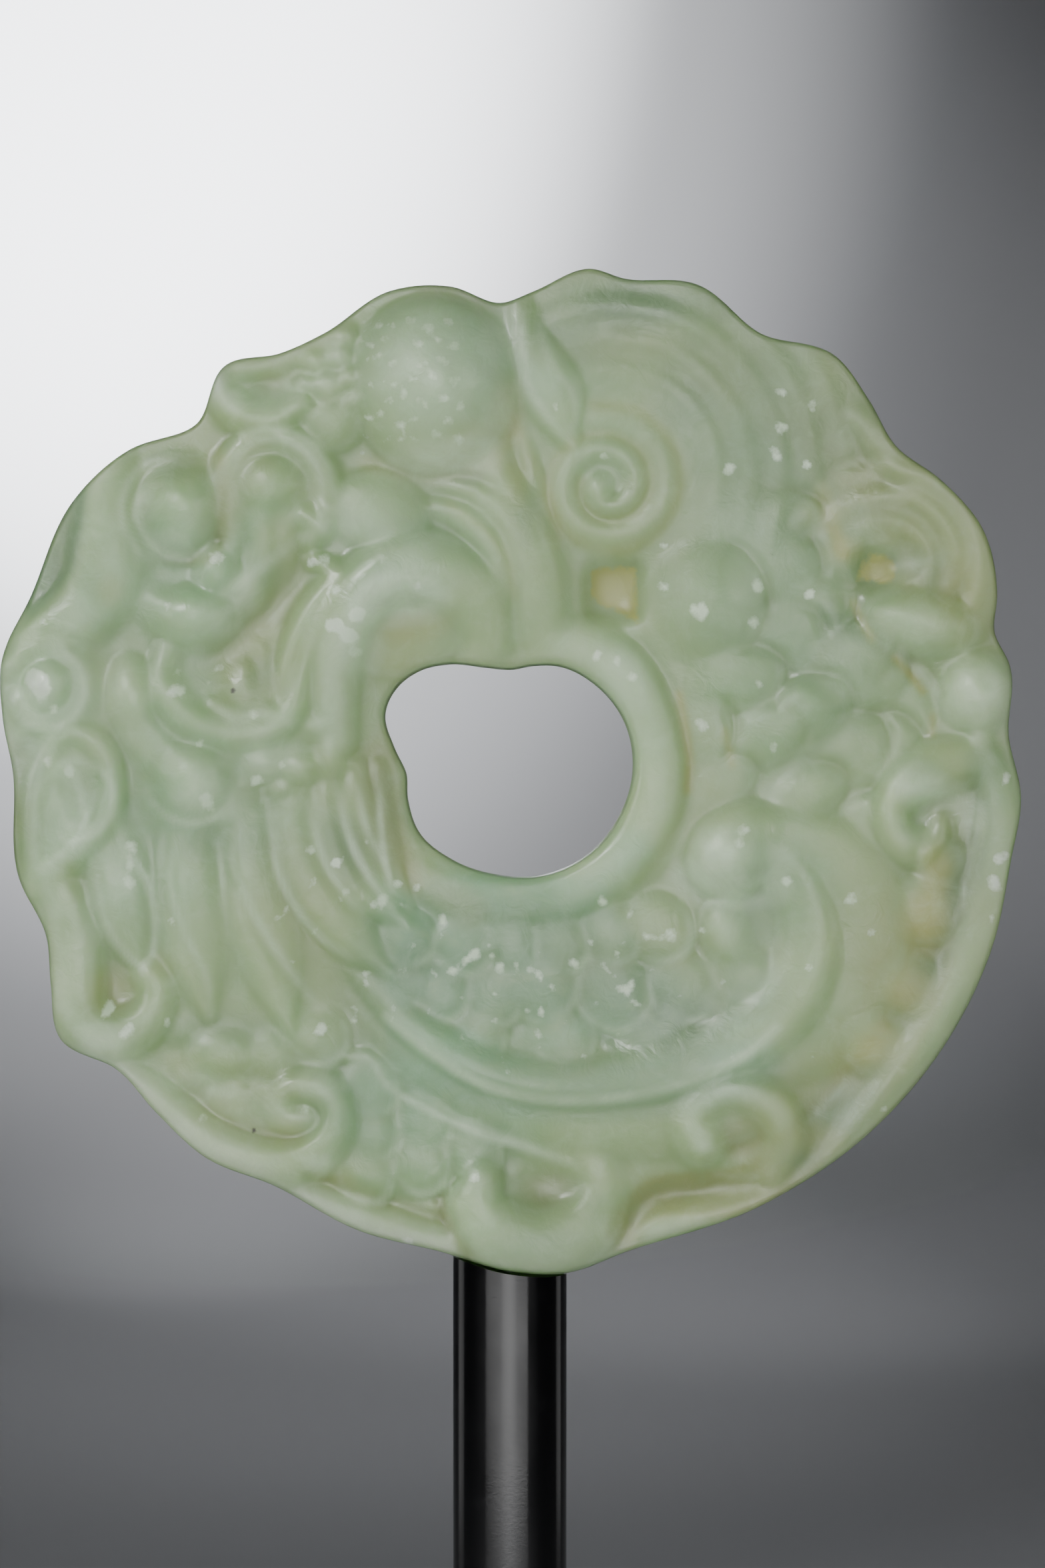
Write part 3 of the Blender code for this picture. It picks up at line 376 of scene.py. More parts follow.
def carve_ring(c):
    """The smooth coil round the hole, and the deep four-sided pit above its start."""
    path = ((9, 24.5), (16, 23.6), (24, 16.4), (28.7, 4), (27.8, -8), (22.5, -17), (12, -23), (1, -25.3),
            (-10, -24.3), (-17.5, -20), (-21.5, -11))
    c.band(path, width=(5.6, 7.4, 7.4, 7.2, 6.8, 6.4, 3.0),
           height=(0.46, 0.58, 0.58, 0.56, 0.52, 0.46, 0.35), foot=0.1, fullness=0.45)
    c.groove(((13, 31), (20, 28.4), (28, 21), (33.4, 8), (34.6, -4), (31, -14), (25, -22)), width=1.8,
             depth=(0.03, 0.10, 0.12, 0.10, 0.06))
    c.pit(at=(20.2, 35.2), size=(6.2, 6.8), depth=0.34, corners=5)


def carve_rim(c):
    """The long plain border from the boss on the right round to the foot of the roundel."""
    border = ((92, 6), (95.5, -5), (95, -18), (91, -32), (85, -44), (77, -55), (67, -66), (57, -75),
              (44, -83.5), (28, -90))
    c.band(border, width=(3, 5.8, 5.8, 5.6, 5, 3.5), height=(0.5, 0.54, 0.54, 0.52, 0.48, 0.4), foot=0)
    hollow = ((21, -94), (23.6, -88), (29, -83), (40, -82), (51, -79), (60, -72.5), (68, -62), (77, -50),
              (84, -38), (88, -24))
    c.groove(hollow, width=(2, 4, 4, 3.4, 2.4, 1.6), depth=(0.1, 0.24, 0.22, 0.16, 0.10, 0))
    c.lobe(at=(91.5, 15.5), size=(8.6, 8.8), height=0.82, foot=0, fullness=0.5)
    c.pit(at=(93.4, 17.2), size=1.9, depth=0.12)


def carve_right_curl(c):
    """The hooked curl under the boss."""
    path = ((93, 2), (86, 1.4), (79, -1.2), (74.6, -6.2), (75, -12.2), (79.2, -15.6), (83.4, -13.4),
            (84, -10.4))
    c.band(path, width=(4, 6, 5, 3.6, 3.4, 2.2), height=(0.5, 0.62, 0.74, 0.78, 0.7, 0.5), foot=0.05)
    c.pit(at=(80.4, -9.4), size=(3, 2.6), depth=0.08)


def carve_belly(c):
    """Petals inside the right rim, and the great comma whose tail sweeps on as the ridged belly."""
    for at, size, turn in (
            ((84, -17.6), (5, 5), 160), ((81.6, -27), (9, 7), 175), ((78, -42), (8, 6.6), 150),
            ((71, -53), (8, 6.6), 140)):
        c.scale(at, size, turn, height=0.50, edge=0.35)
    shoulder = ((47, -11), (55, -11.6), (63, -15.6), (69, -24), (71, -34), (66, -46), (55, -56),
                (44, -62))
    c.band(shoulder, width=(5, 6.4, 8.6, 9.6, 9.8, 9, 7, 4),
           height=(0.60, 0.62, 0.60, 0.56, 0.52, 0.48, 0.44, 0.36), fullness=0.5)
    tail = ((46, -14.5), (53.6, -19), (57.6, -27), (58, -36), (53.6, -45), (45.6, -51.6), (35, -56.4),
            (22, -59.6), (8, -60.4), (-5, -57.6), (-15, -52), (-24, -44.6), (-32, -37))
    c.band(tail, width=(5.4, 6.4, 7.6, 7.6, 6.4, 5.4, 4.8, 4.2, 1.8),
           height=(0.58, 0.61, 0.63, 0.63, 0.62, 0.61, 0.61, 0.56, 0.40), fullness=0.4, lean=0.18)
    c.band(((50, -11.4), (45, -12), (41.4, -16.6)), width=(5.4, 6.8, 7.4), height=(0.64, 0.74, 0.82),
           fullness=0.6)
    c.lobe(at=(42.6, -16.4), size=(8.2, 8.6), height=0.80, foot=0.3, fullness=0.5)
    c.lobe(at=(42, -31.5), size=(5.4, 7.6), height=0.64, turn=12)
    under = ((50, -64), (34, -67.6), (16, -69), (0, -66), (-12, -60.6), (-22, -53), (-31, -44))
    c.band(under, width=(7, 8, 7, 6, 5, 2), height=(0.44, 0.48, 0.48, 0.48, 0.46, 0.34), fullness=0.4)


def carve_lower_right(c):
    """The smooth field at the lower right, and its C-shaped curl with a painted highlight and painted
    mossy shade in its hollow.
    """
    c.lobe(at=(46, -70), size=(20, 10), height=0.42, foot=0.2, fullness=0.5)
    curl = ((37.5, -72.6), (35.2, -68.4), (38.6, -64.4), (45, -62.8), (51.4, -65.6), (54, -71.6),
            (51.6, -78))
    c.band(curl, width=(5.2, 4.4, 4.8, 4.8, 3.4), height=(0.70, 0.66, 0.68, 0.64, 0.48))
    c.pit(at=(44.8, -71.6), size=(5.4, 5.6), depth=0.14)
    # Painted highlight on the curl.
    c.streak("milk_and_highlight", curl, width=2.4, strength=(0.7, 0.6, 0.5, 0.3, 0))
    # Painted shade in the curl's hollow.
    c.dab("moss_and_shade", (45.4, -71.6), (5.4, 5.4), 0.8)


def carve_bottom_curl(c):
    """The curl at the foot of the roundel, over the rod."""
    path = ((-5.6, -79.5), (-6.4, -86), (-1, -91.6), (8, -92.4), (15.6, -88), (18.4, -81), (15, -75.4))
    c.band(path, width=(4.2, 7.4, 7.6, 7.2, 5.6, 4), height=(0.66, 0.68, 0.62, 0.56, 0.50, 0.44),
           foot=0.1)
    c.pit(at=(7.6, -81.4), size=(7, 5.6), depth=0.10, turn=-10)
    c.groove(((-13.6, -83), (-12.4, -88.6), (-8.4, -94.6)), width=1.5, depth=0.14)


def carve_lower_left(c):
    """Small clouds and a scroll at the lower left, with a border band outside them."""
    c.lobes((
        (-56, -55.4, 8, 6, 0.56), (-46.4, -55.6, 6, 6.4, 0.52), (-54, -63.4, 5.6, 4.4, 0.48),
        (-48, -63.6, 4.4, 4, 0.46), (-39, -52, 5, 4.6, 0.5), (-64, -50.4, 4.4, 4, 0.44),
        (-62.6, -58, 4.6, 4.6, 0.40)), foot=0.2)
    path = ((-79, -57), (-70, -64), (-61, -71.6), (-51, -76.2), (-42, -76.4), (-35.6, -72.4),
            (-33.6, -66.6), (-37, -62), (-42.6, -61.8), (-45.4, -65), (-43.4, -68), (-40, -67.6))
    c.band(path, width=(3.6, 5, 5.4, 5.4, 4.6, 3.8, 2.6),
           height=(0.5, 0.56, 0.58, 0.62, 0.64, 0.62, 0.52), foot=0.1, fullness=0.55)
    c.groove(((-63, -62.6), (-56, -68.6), (-48, -71.6), (-41.6, -71.6)), width=2.6, depth=0.07)
    c.band(((-46, -80), (-36, -85.4), (-24, -90), (-12, -93.4)), width=(2.5, 4.8, 4), height=0.46, foot=0)
    c.groove(((-39, -79.6), (-30, -82), (-20, -85.4), (-13, -88)), width=2.4, depth=0.10)


def carve_left_hook(c):
    """The hook that stands out of the rim at the lower left."""
    path = ((-90.4, -20), (-86.6, -28), (-84.6, -38), (-84.6, -46), (-81, -51), (-75.8, -51.6),
            (-70.4, -48), (-69, -43), (-70.8, -39.6))
    c.band(path, width=(5, 6.4, 6.4, 5.2, 3.6), height=(0.54, 0.60, 0.62, 0.66, 0.62), foot=0.15,
           fullness=0.6)
    c.pit(at=(-77.4, -40), size=(5, 8), depth=0.08)


def carve_mane(c):
    """Long leaf-shaped locks that flow down from the jaw, each lapping over the one on its right."""
    locks = (
        (((-25.6, 1), (-25.6, -8), (-23.6, -16), (-19.6, -24)), 2.6, 0.46),
        (((-30.4, 1), (-29, -9), (-25.6, -18), (-19, -27)), 3.2, 0.54),
        (((-35.6, 0), (-33, -13), (-27, -24), (-18.6, -31)), 4.6, 0.58),
        (((-42.6, -2), (-40, -16), (-33, -29.6), (-22.6, -40)), 6.6, 0.62),
        (((-52.4, -5), (-50, -17), (-47.6, -32), (-42.6, -51.6)), 7.4, 0.64),
        (((-64, -8), (-62.4, -20), (-61, -34), (-58.6, -48.6)), 7.2, 0.66),
        (((-77, -10), (-75.8, -20), (-74.4, -29), (-71.6, -39.6)), 7.0, 0.62))
    for path, width, height in locks:
        c.band(path, width=(0.6 * width, width, 0.9 * width, 0.1 * width),
               height=(0.84 * height, height, height, 0.86 * height), foot=0.3, fullness=0.45,
               lean=-0.16)


def carve_throat(c):
    """The round bulb under the jaw, the teardrop that runs into it, and the knobbly chin."""
    c.lobe(at=(-73.8, 14.4), size=(6.4, 10.8), height=0.78, turn=8, fullness=0.6)
    c.band(((-72, 8), (-68, 3), (-64, 0)), width=(5, 6, 7), height=(0.66, 0.7, 0.76))
    c.lobe(at=(-62, -1.4), size=(9.6, 9.4), height=0.92, fullness=0.6)
    c.lobes((
        (-48, 1.4, 6.4, 4.6, 0.70), (-41, 0.6, 5, 4.4, 0.70), (-54.6, 3.6, 5, 4, 0.66),
        (-35, 3, 4.4, 6, 0.64), (-44.6, -3.4, 4, 2.8, 0.6), (-38, 8.4, 4, 4, 0.62),
        (-51, -2.4, 3, 2.4, 0.56)))


def carve_ear(c):
    """The ear at the left edge: an oval hollow with a rolled border and a small tongue in it."""
    c.lobe(at=(-86, -4), size=(9, 12), height=0.48, fullness=0.4)
    path = ((-93, -23), (-93.4, -10), (-91.6, 1), (-86.6, 7.2), (-80.6, 5.2), (-77.6, -1.6), (-79, -9.6),
            (-84.6, -16), (-92.4, -22.4))
    c.band(path, width=(2.8, 2.8, 2.8, 3, 3, 2.8), height=(0.56, 0.66, 0.70, 0.72, 0.68, 0.54), foot=0.2)
    c.pit(at=(-84.4, -4), size=(4, 7), depth=0.12, turn=10)
    c.lobe(at=(-87.4, -7.4), size=(2.8, 4.8), height=0.58, turn=-15, foot=0.3)


def carve_left_scroll(c):
    """The scroll at the left edge, and the lobe that leads down to it."""
    c.band(((-78, 34), (-87, 29.4), (-95, 25)), width=(6, 6.4, 4), height=(0.6, 0.66, 0.6))
    c.band(spiral((-90.4, 16), (8.4, 6.4), 150, -160, stops=12), width=(3, 3.6, 3.6, 2.6), height=0.64,
           foot=0)
    c.lobe(at=(-90.4, 16.8), size=(6, 6.6), height=0.84, foot=0.2, fullness=0.6)


def carve_eyes(c):
    """Two domed eyes: the left one ringed, the right one under a bent brow with a knob at its end."""
    c.band(((-78.6, 60), (-78, 50), (-79, 38), (-84, 30)), width=(6, 8.4, 9.6, 8),
           height=(0.56, 0.66, 0.68, 0.64))
    c.lobe(at=(-65, 51.6), size=(12, 12), height=0.62, foot=0.2, fullness=0.4)
    c.groove(spiral((-64, 51), 9.4, -170, 80), width=2.4, depth=(0, 0.16, 0.16, 0))
    c.groove(spiral((-64.6, 51), 9.0, 60, 220), width=1.4, depth=(0, 0.08, 0))
    c.lobe(at=(-63.8, 51.4), size=(7.4, 8.4), height=0.86, turn=8, foot=0.3, fullness=0.65)
    c.lobe(at=(-47.4, 54), size=(12.6, 12), height=0.62, fullness=0.4, foot=0.2)
    c.band(((-53.6, 62), (-54.6, 52), (-54, 44)), width=2.2, height=(0.6, 0.64, 0.58), foot=0.3)
    c.band(((-48.6, 50), (-48, 43), (-50.4, 36)), width=3.4, height=(0.66, 0.66, 0.62), foot=0.3)
    c.band(((-43.4, 50), (-43.4, 44), (-44.6, 38)), width=2.6, height=(0.62, 0.62, 0.5), foot=0.3)
    brow = ((-56, 54), (-54.4, 60), (-49.4, 64.4), (-42.6, 64), (-37, 58.8), (-35.4, 51))
    c.band(brow, width=3.2, height=(0.56, 0.64, 0.66, 0.64, 0.58), foot=0.4)
    c.lobe(at=(-46.8, 55.6), size=(7.4, 7.2), height=0.80, foot=0.3, fullness=0.65)
    for at, size in (
            ((-39.6, 49.4), 2.6), ((-37, 47.6), 2.8), ((-39, 45), 2.2), ((-35.8, 51.4), 2.2),
            ((-38.4, 41.2), 1.7), ((-36.2, 40), 1.6)):
        c.lobe(at, size, height=0.70, foot=0.45)


def carve_clouds(c):
    """Small flame-like curls between the brow and the pearl."""
    c.lobe(at=(-44, 73), size=(15, 10), height=0.44, turn=15, foot=0.1, fullness=0.4)
    c.band(((-58, 76), (-54.6, 78.6), (-47, 79.2), (-40, 82.6), (-33, 85)), width=2.8, height=0.5)
    c.band(((-57, 77), (-56, 72.4), (-51.6, 69), (-45.4, 69), (-41, 71.6)), width=(2.2, 3.6, 3.8, 2.6),
           height=0.70)
    c.pit(at=(-47.4, 75.6), size=(5.4, 3), depth=0.12, turn=8)
    for at, size in (
            ((-35, 68), (6.4, 6)), ((-35.6, 75), (4, 3.6)), ((-38.4, 80), (3, 2.6)),
            ((-33.6, 81), (3, 2.8)), ((-31.6, 76.6), (2.4, 2.8)), ((-31, 72), (2.4, 2.4)),
            ((-40, 75.6), (2.4, 2)), ((-33, 85), (2.8, 2))):
        c.lobe(at, size, height=0.64, foot=0.3)


def carve_neck(c):
    """The thick arched neck left of the hole, with plumes laid over it."""
    for shift, rise, height in ((6.6, 8, 0.50), (3.4, 4, 0.56), (0, 0, 0.58)):
        plume = ((-20 + shift, 52.4 + rise), (-9 + shift, 49.6 + rise), (-2 + shift, 41 + rise),
                 (-0.6 + shift, 29 + rise))
        c.band(plume, width=(0.6, 3.2, 3.4, 1.6), height=(0.36, height, height, 0.42))
    column = ((-3, 64), (-1.4, 56), (2.6, 47), (5.5, 37), (6, 28), (7, 22))
    c.band(column, width=(3, 4.6, 6.2, 6.4, 5.6), height=(0.45, 0.55, 0.6, 0.56, 0.42))
    c.band(((2.6, 64.6), (4.4, 58), (7, 50)), width=2.2, height=(0.4, 0.46, 0.4))
    c.lobe(at=(-25.6, 50.4), size=(10, 8), height=0.70, turn=-20, foot=0.3, fullness=0.45)
    arch = ((-34, 6), (-34.4, 18), (-32, 30), (-24.6, 38.4), (-15, 39), (-7.6, 34.4), (-4.6, 27),
            (-6, 21))
    c.band(arch, width=(4.6, 5.4, 6.8, 7.8, 7.2, 5), height=(0.6, 0.74, 0.82, 0.80, 0.68, 0.48),
           foot=0.05)


def carve_snout(c):
    """Nostrils, the open mouth with its tongue, and the lip that bends round under it."""
    c.lobe(at=(-52, 24), size=(11, 13), height=0.40, turn=-20, foot=0.1, fullness=0.4)
    c.lobe(at=(-69, 32), size=(5, 6), height=0.62)
    c.lobe(at=(-51, 35), size=(5, 8), height=0.64, turn=-30)
    c.lobe(at=(-61.6, 30), size=(10.4, 7.6), height=0.82, turn=-4, foot=0.2, fullness=0.6)
    c.lobe(at=(-57, 38.6), size=(5, 5.6), height=0.72, foot=0.3)
    c.groove(((-59, 19.6), (-53.4, 26.6), (-47, 31.4), (-42, 38), (-40.6, 44)), width=4,
             depth=(0.06, 0.12, 0.12, 0.08))
    lip = ((-67, 23), (-67.4, 17), (-63, 10.6), (-55, 7.2), (-47, 8), (-42.4, 12), (-41, 19))
    c.band(lip, width=(3.4, 4.2, 3.8, 3.6, 2.8), height=(0.6, 0.80, 0.78, 0.76, 0.66), foot=0.15)
    c.band(((-58, 13.4), (-52.6, 10.6), (-47, 12)), width=1.6, height=0.7, foot=0.3)
    c.lobe(at=(-51.8, 17.6), size=(3, 6.8), height=0.62, foot=0)
    c.band(((-48, 14), (-47.8, 19), (-48.6, 24)), width=1.6, height=0.52, foot=0)
    for shift in (0, 3.2):
        strand = ((-44.4 + shift, 12), (-43.2 + shift, 22), (-39.6 + shift, 31), (-33.6 + shift, 39.6))
        c.band(strand, width=(1.4, 2.2, 2.2, 1.4), height=(0.55, 0.70, 0.74, 0.66), foot=0.3)


def carve_pearl(c):
    """The flaming pearl at the top, and the leaf beside it with painted highlights along its edges."""
    c.band(((1.5, 92), (3.6, 84), (7.6, 75.5), (12, 63.6)), width=(2, 4, 5.8, 1.4),
           height=(0.46, 0.52, 0.56, 0.54), foot=0.3)
    # Painted highlights along the leaf's edges.
    c.streak("milk_and_highlight", ((2.6, 90), (3.3, 76), (11, 64)), width=1.0, strength=(0.2, 1.0, 1.0, 0.3))
    c.streak("milk_and_highlight", ((5, 90), (8, 80), (12.4, 73), (12.6, 64)), width=1.0, strength=(0.2, 0.7, 0.8, 0.3))
    c.lobe(at=(-15, 84), size=(19, 12), height=0.36, foot=0)
    c.lobe(at=(-15, 75.5), size=(16.8, 18), height=1.0, foot=0.15, fullness=0.5)
    c.groove(((-29, 86), (-24, 91), (-15, 93.6), (-7, 91), (-3, 87)), width=(0.6, 1.5, 1.5, 0.6),
             depth=(0, 0.1, 0.1, 0))


def carve_fine_lines(c):
    """Thin lines cut last with a small wheel, and painted highlights as milky lines beside them and round
    the forms.
    """
    for far, depth in ((10.4, 0.05), (12.6, 0.04)):
        c.groove(spiral((-64, 51), far, 95, 235), width=0.8, depth=(0, depth, depth, 0))
    for inset in (0.9, 2.5):
        arch = spiral((-46.6, 54.6), 10.2 - inset, 170, -10)
        c.groove(arch, width=0.7, depth=(0, 0.06, 0.06, 0))
    for shift in (1.6, 4.6):
        c.groove(((-44.4 + shift, 13), (-43 + shift, 22), (-39.4 + shift, 31), (-34.4 + shift, 38)),
                 width=0.7, depth=(0, 0.06, 0.06, 0))
    c.groove(((-53, 76), (-51.5, 73.5), (-49, 71.2)), width=0.6, depth=(0.02, 0.09, 0.02))
    for path in (
            ((-66, -13), (-67, -22), (-64.7, -31), (-60.4, -40), (-58.6, -48)),
            ((-54.2, -11), (-54.6, -19), (-50.3, -29), (-42.6, -41), (-38, -47)),
            ((-47, -12), (-45.6, -21), (-40, -30.6), (-32, -37)),
            ((-34.8, -3), (-32.4, -13), (-28.4, -21), (-21.6, -30)),
            ((-40, -8), (-37, -18), (-31, -27)),
            ((-26.4, -2), (-26, -13), (-23.6, -24)),
            ((-30.6, -3), (-29, -11), (-24.6, -21)),
            ((-81.6, -20), (-79.6, -30), (-73, -38.6), (-70, -32), (-71.4, -23), (-75.4, -16))):
        c.groove(path, width=1.6, depth=(0.02, 0.05, 0.05, 0.02))
        # Painted highlight beside each line, where its edge would catch the light.
        c.streak("milk_and_highlight", [(x + 0.9, z + 0.3) for x, z in path], width=0.8, strength=(0.2, 1.1, 1.1, 0.3))
    ridge = ((-44, -56), (-39, -58), (-33, -56), (-27, -56), (-23.5, -61.6), (-15, -66.6), (-5, -71),
             (4, -74), (13, -77))
    c.band(ridge, width=1.0, height=(0.36, 0.44, 0.47, 0.46, 0.38), foot=0.3)
    # Painted highlight along the ridge.
    c.streak("milk_and_highlight", ridge, width=1.0, strength=(0.2, 0.5, 0.9, 0.9, 0.4))
    # Painted highlights round the eyes, the bulb, the scroll and the ear.
    for ring in (
            spiral((-64, 51), 9, 80, 340), spiral((-64, 51), 11.6, 90, 250),
            spiral((-46.6, 54.6), 10, 175, -20), spiral((-46.6, 54.6), 12, 150, 0),
            spiral((-62, -1.4), 8.8, 185, 350), spiral((-90.4, 16), 7.6, 100, -200),
            spiral((-85, -5), (6, 9), 200, -140)):
        c.streak("milk_and_highlight", ring, width=0.8, strength=(0.1, 0.8, 0.8, 0.1))
    # Painted highlights along the hook and three more edges.
    for path, width in (
            (((-91, -22), (-88, -34), (-87, -46), (-82, -52), (-76, -52.8), (-70, -48)), 2.2),
            (((-77.4, -3), (-76, -14), (-73.6, -26)), 1.4),
            (((-37, 48), (-48, 40), (-61, 31)), 1.4),
            (((-42, -75), (-37, -77), (-33, -73)), 2)):
        c.streak("milk_and_highlight", path, width, strength=(0.1, 0.5, 0.5, 0.1))
    # Painted highlight along the belly's lower edge.
    edge = ((52, -50), (46, -55.4), (35, -60.6), (22, -63.6), (8, -64.2), (-4, -61.6), (-14, -56),
            (-24, -48))
    c.streak("milk_and_highlight", edge, width=1.3, strength=1.1)


def stain_patches(c):
    """Crisp patches: the tan floors of two deep pits, and painted shade on the facet at the left rim."""
    c.patch("tan", ((15.6, 39.8), (24.6, 40.2), (25.4, 28.6), (15.8, 33.6)))
    c.patch("tan", ((67.6, 37), (68.6, 40.6), (71, 42.6), (74, 42), (75.8, 39.4), (75, 36.4)))
    # Painted shade on the facet at the left rim, in the shade and teal layers.
    facet = ((-82.6, 55), (-84.6, 40), (-87.8, 35.6), (-93.6, 30), (-98, 36), (-92, 50), (-84, 59))
    c.patch("shade", facet)
    c.patch("teal", facet, strength=0.5)


def scatter(i):
    """Two shares from 0 to 1 that fill their square evenly as i goes up, with no chance in it."""
    return 0.7549 * i % 1, 0.5698 * i % 1


def stain_flecks_and_glints(c):
    """Small milky crystals in the stone with painted glints among them, and a fan of the smallest ones
    below the hole.
    """
    # The list holds milky crystals and painted glints.
    flecks = (
        (-74, -15, 1.9), (-74, -18.4, 1.7), (-74, -21.8, 2.1), (-59, -6, 2.6), (-66, -29.5, 1.4),
        (-39, -15.5, 1.5), (-34, -18, 1.4), (-25, -25.5, 2.2), (-22, -22, 1.5), (-18, -22.5, 1.5),
        (-13, -29, 1.6), (-11, -39, 1.8), (-2, -38.5, 1.8), (4, -38.5, 1.3), (6, -40, 1.5), (6, -47, 1.5),
        (5.5, -51.5, 1.3), (18, -25.5, 1.8), (26.5, -32.5, 1.4), (31.5, -32, 2.1), (37.5, -31, 1.2),
        (21, -36, 1.2), (21, -42.5, 1.2), (23.5, -42, 2.0), (54, -21.5, 1.8), (66.5, -25, 1.8),
        (70.5, -31.5, 1.4), (58, -38.5, 1.3), (43.5, -55.5, 1.1), (59, -55.5, 1.1), (-37, -50.5, 2.2),
        (-67, -49, 1.4), (-75.5, -51.5, 1.6), (-79, -47.5, 1.6), (-92, 17, 3.2), (-65, 15.6, 2.6),
        (-34.5, 28.5, 2.0), (-31, 26.5, 1.8), (-30, 30.5, 1.8), (18.5, 61.5, 1.5), (43, 59, 2.2),
        (53, 74, 1.6), (53, 67, 2.2), (52, 62, 2.0), (59, 71, 1.6), (58, 60, 1.6), (37, 31, 2.8),
        (48.5, 36, 2.2), (47.5, 29, 1.8), (58.5, 34.5, 1.8), (17, 22.5, 1.6), (21, 21.5, 1.6),
        (24, 18.5, 1.6), (37.5, 9, 2.0), (51.5, 4.5, 1.6), (97, -1.5, 1.6), (73, -66, 1.3),
        (-7, -79.5, 1.6), (48.6, 17, 1.3), (-91, 15, 2.2), (-18, 36, 1.6), (-57, 20, 1.4), (-86, 0, 2.0),
        (-57.2, 41.5, 2.2), (-66.7, 31.9, 1.4), (-36, 41, 1.8), (-38.5, 40.5, 1.6), (-33.9, 35.3, 1.7),
        (-29.7, 30.3, 2.2), (-34, 28.2, 2.0), (-31.4, 26.2, 2.6), (-30, 23, 1.8), (-58.8, 17, 1.2),
        (-64.7, 19.4, 1.2), (-60.5, 5.3, 1.4), (-44.3, 1.2, 1.4), (-49.3, -1.8, 2.0), (-50, 11, 1.6),
        (-90, 1.6, 1.6), (-92.5, 18.5, 2.4), (-89, 12, 1.6), (45.5, -11.4, 1.8), (44.6, -14, 1.6),
        (96, -17, 2.2), (94.6, -22, 2.4), (94, -28.6, 1.2), (13, -38, 1.4), (-7, -36, 2.2),
        (-40, -66, 1.6), (-78, -46, 1.8), (-74, -50, 1.6), (-60, -68, 1.4), (-20, -92, 1.8), (9, 71, 1.4),
        (30, 44, 1.4), (29.8, 36, 1.6))
    for x, z, size in flecks:
        c.dab("fleck_and_glint", (x, z), (1.1 * size, 0.8 * size), strength=0.9, turn=47 * x)
    for i in range(FAN_FLECKS):
        right, up = scatter(i)
        turn = math.radians(205 + 110 * right)
        far = 33 + 26 * up
        spot = (2 + far * math.cos(turn), far * math.sin(turn))
        c.dab("fleck_and_glint", spot, (0.8 + 0.9 * (i * 7 % 5) / 4, 0.8), strength=0.8, turn=31 * i)


def stain_pearl(c):
    """The pearl's flecks in ragged pairs, and a milky crescent low in it, tinged with amber: painted
    light glowing through its lower edge.
    """
    for i in range(PEARL_FLECKS):
        right, up = scatter(i)
        spot = (-29 + 21 * right ** 1.4, 62 + 26 * up)
        beside = (spot[0] + 1.1 * math.cos(2.4 * i), spot[1] + math.sin(2.4 * i))
        size = (1.3 + 1.1 * (i * 7 % 5) / 4, 0.9 + 0.2 * (i * 3 % 4))
        strength = 0.44 + 0.16 * (i * 3 % 4) / 3
        c.dab("fleck_and_glint", spot, size, strength, turn=41 * i)
        c.dab("fleck_and_glint", beside, (1.2, 0.8), 0.8 * strength, turn=97 * i)
    # Painted light glowing through the pearl's lower edge, milky and tinged with amber.
    crescent = spiral((-15, 75.5), 14.6, -115, 10)
    c.streak("milk_and_highlight", crescent, width=3.4, strength=(0.1, 0.7, 0.7, 0.1))
    c.streak("amber", crescent, width=3.0, strength=(0.05, 0.4, 0.4, 0.05))


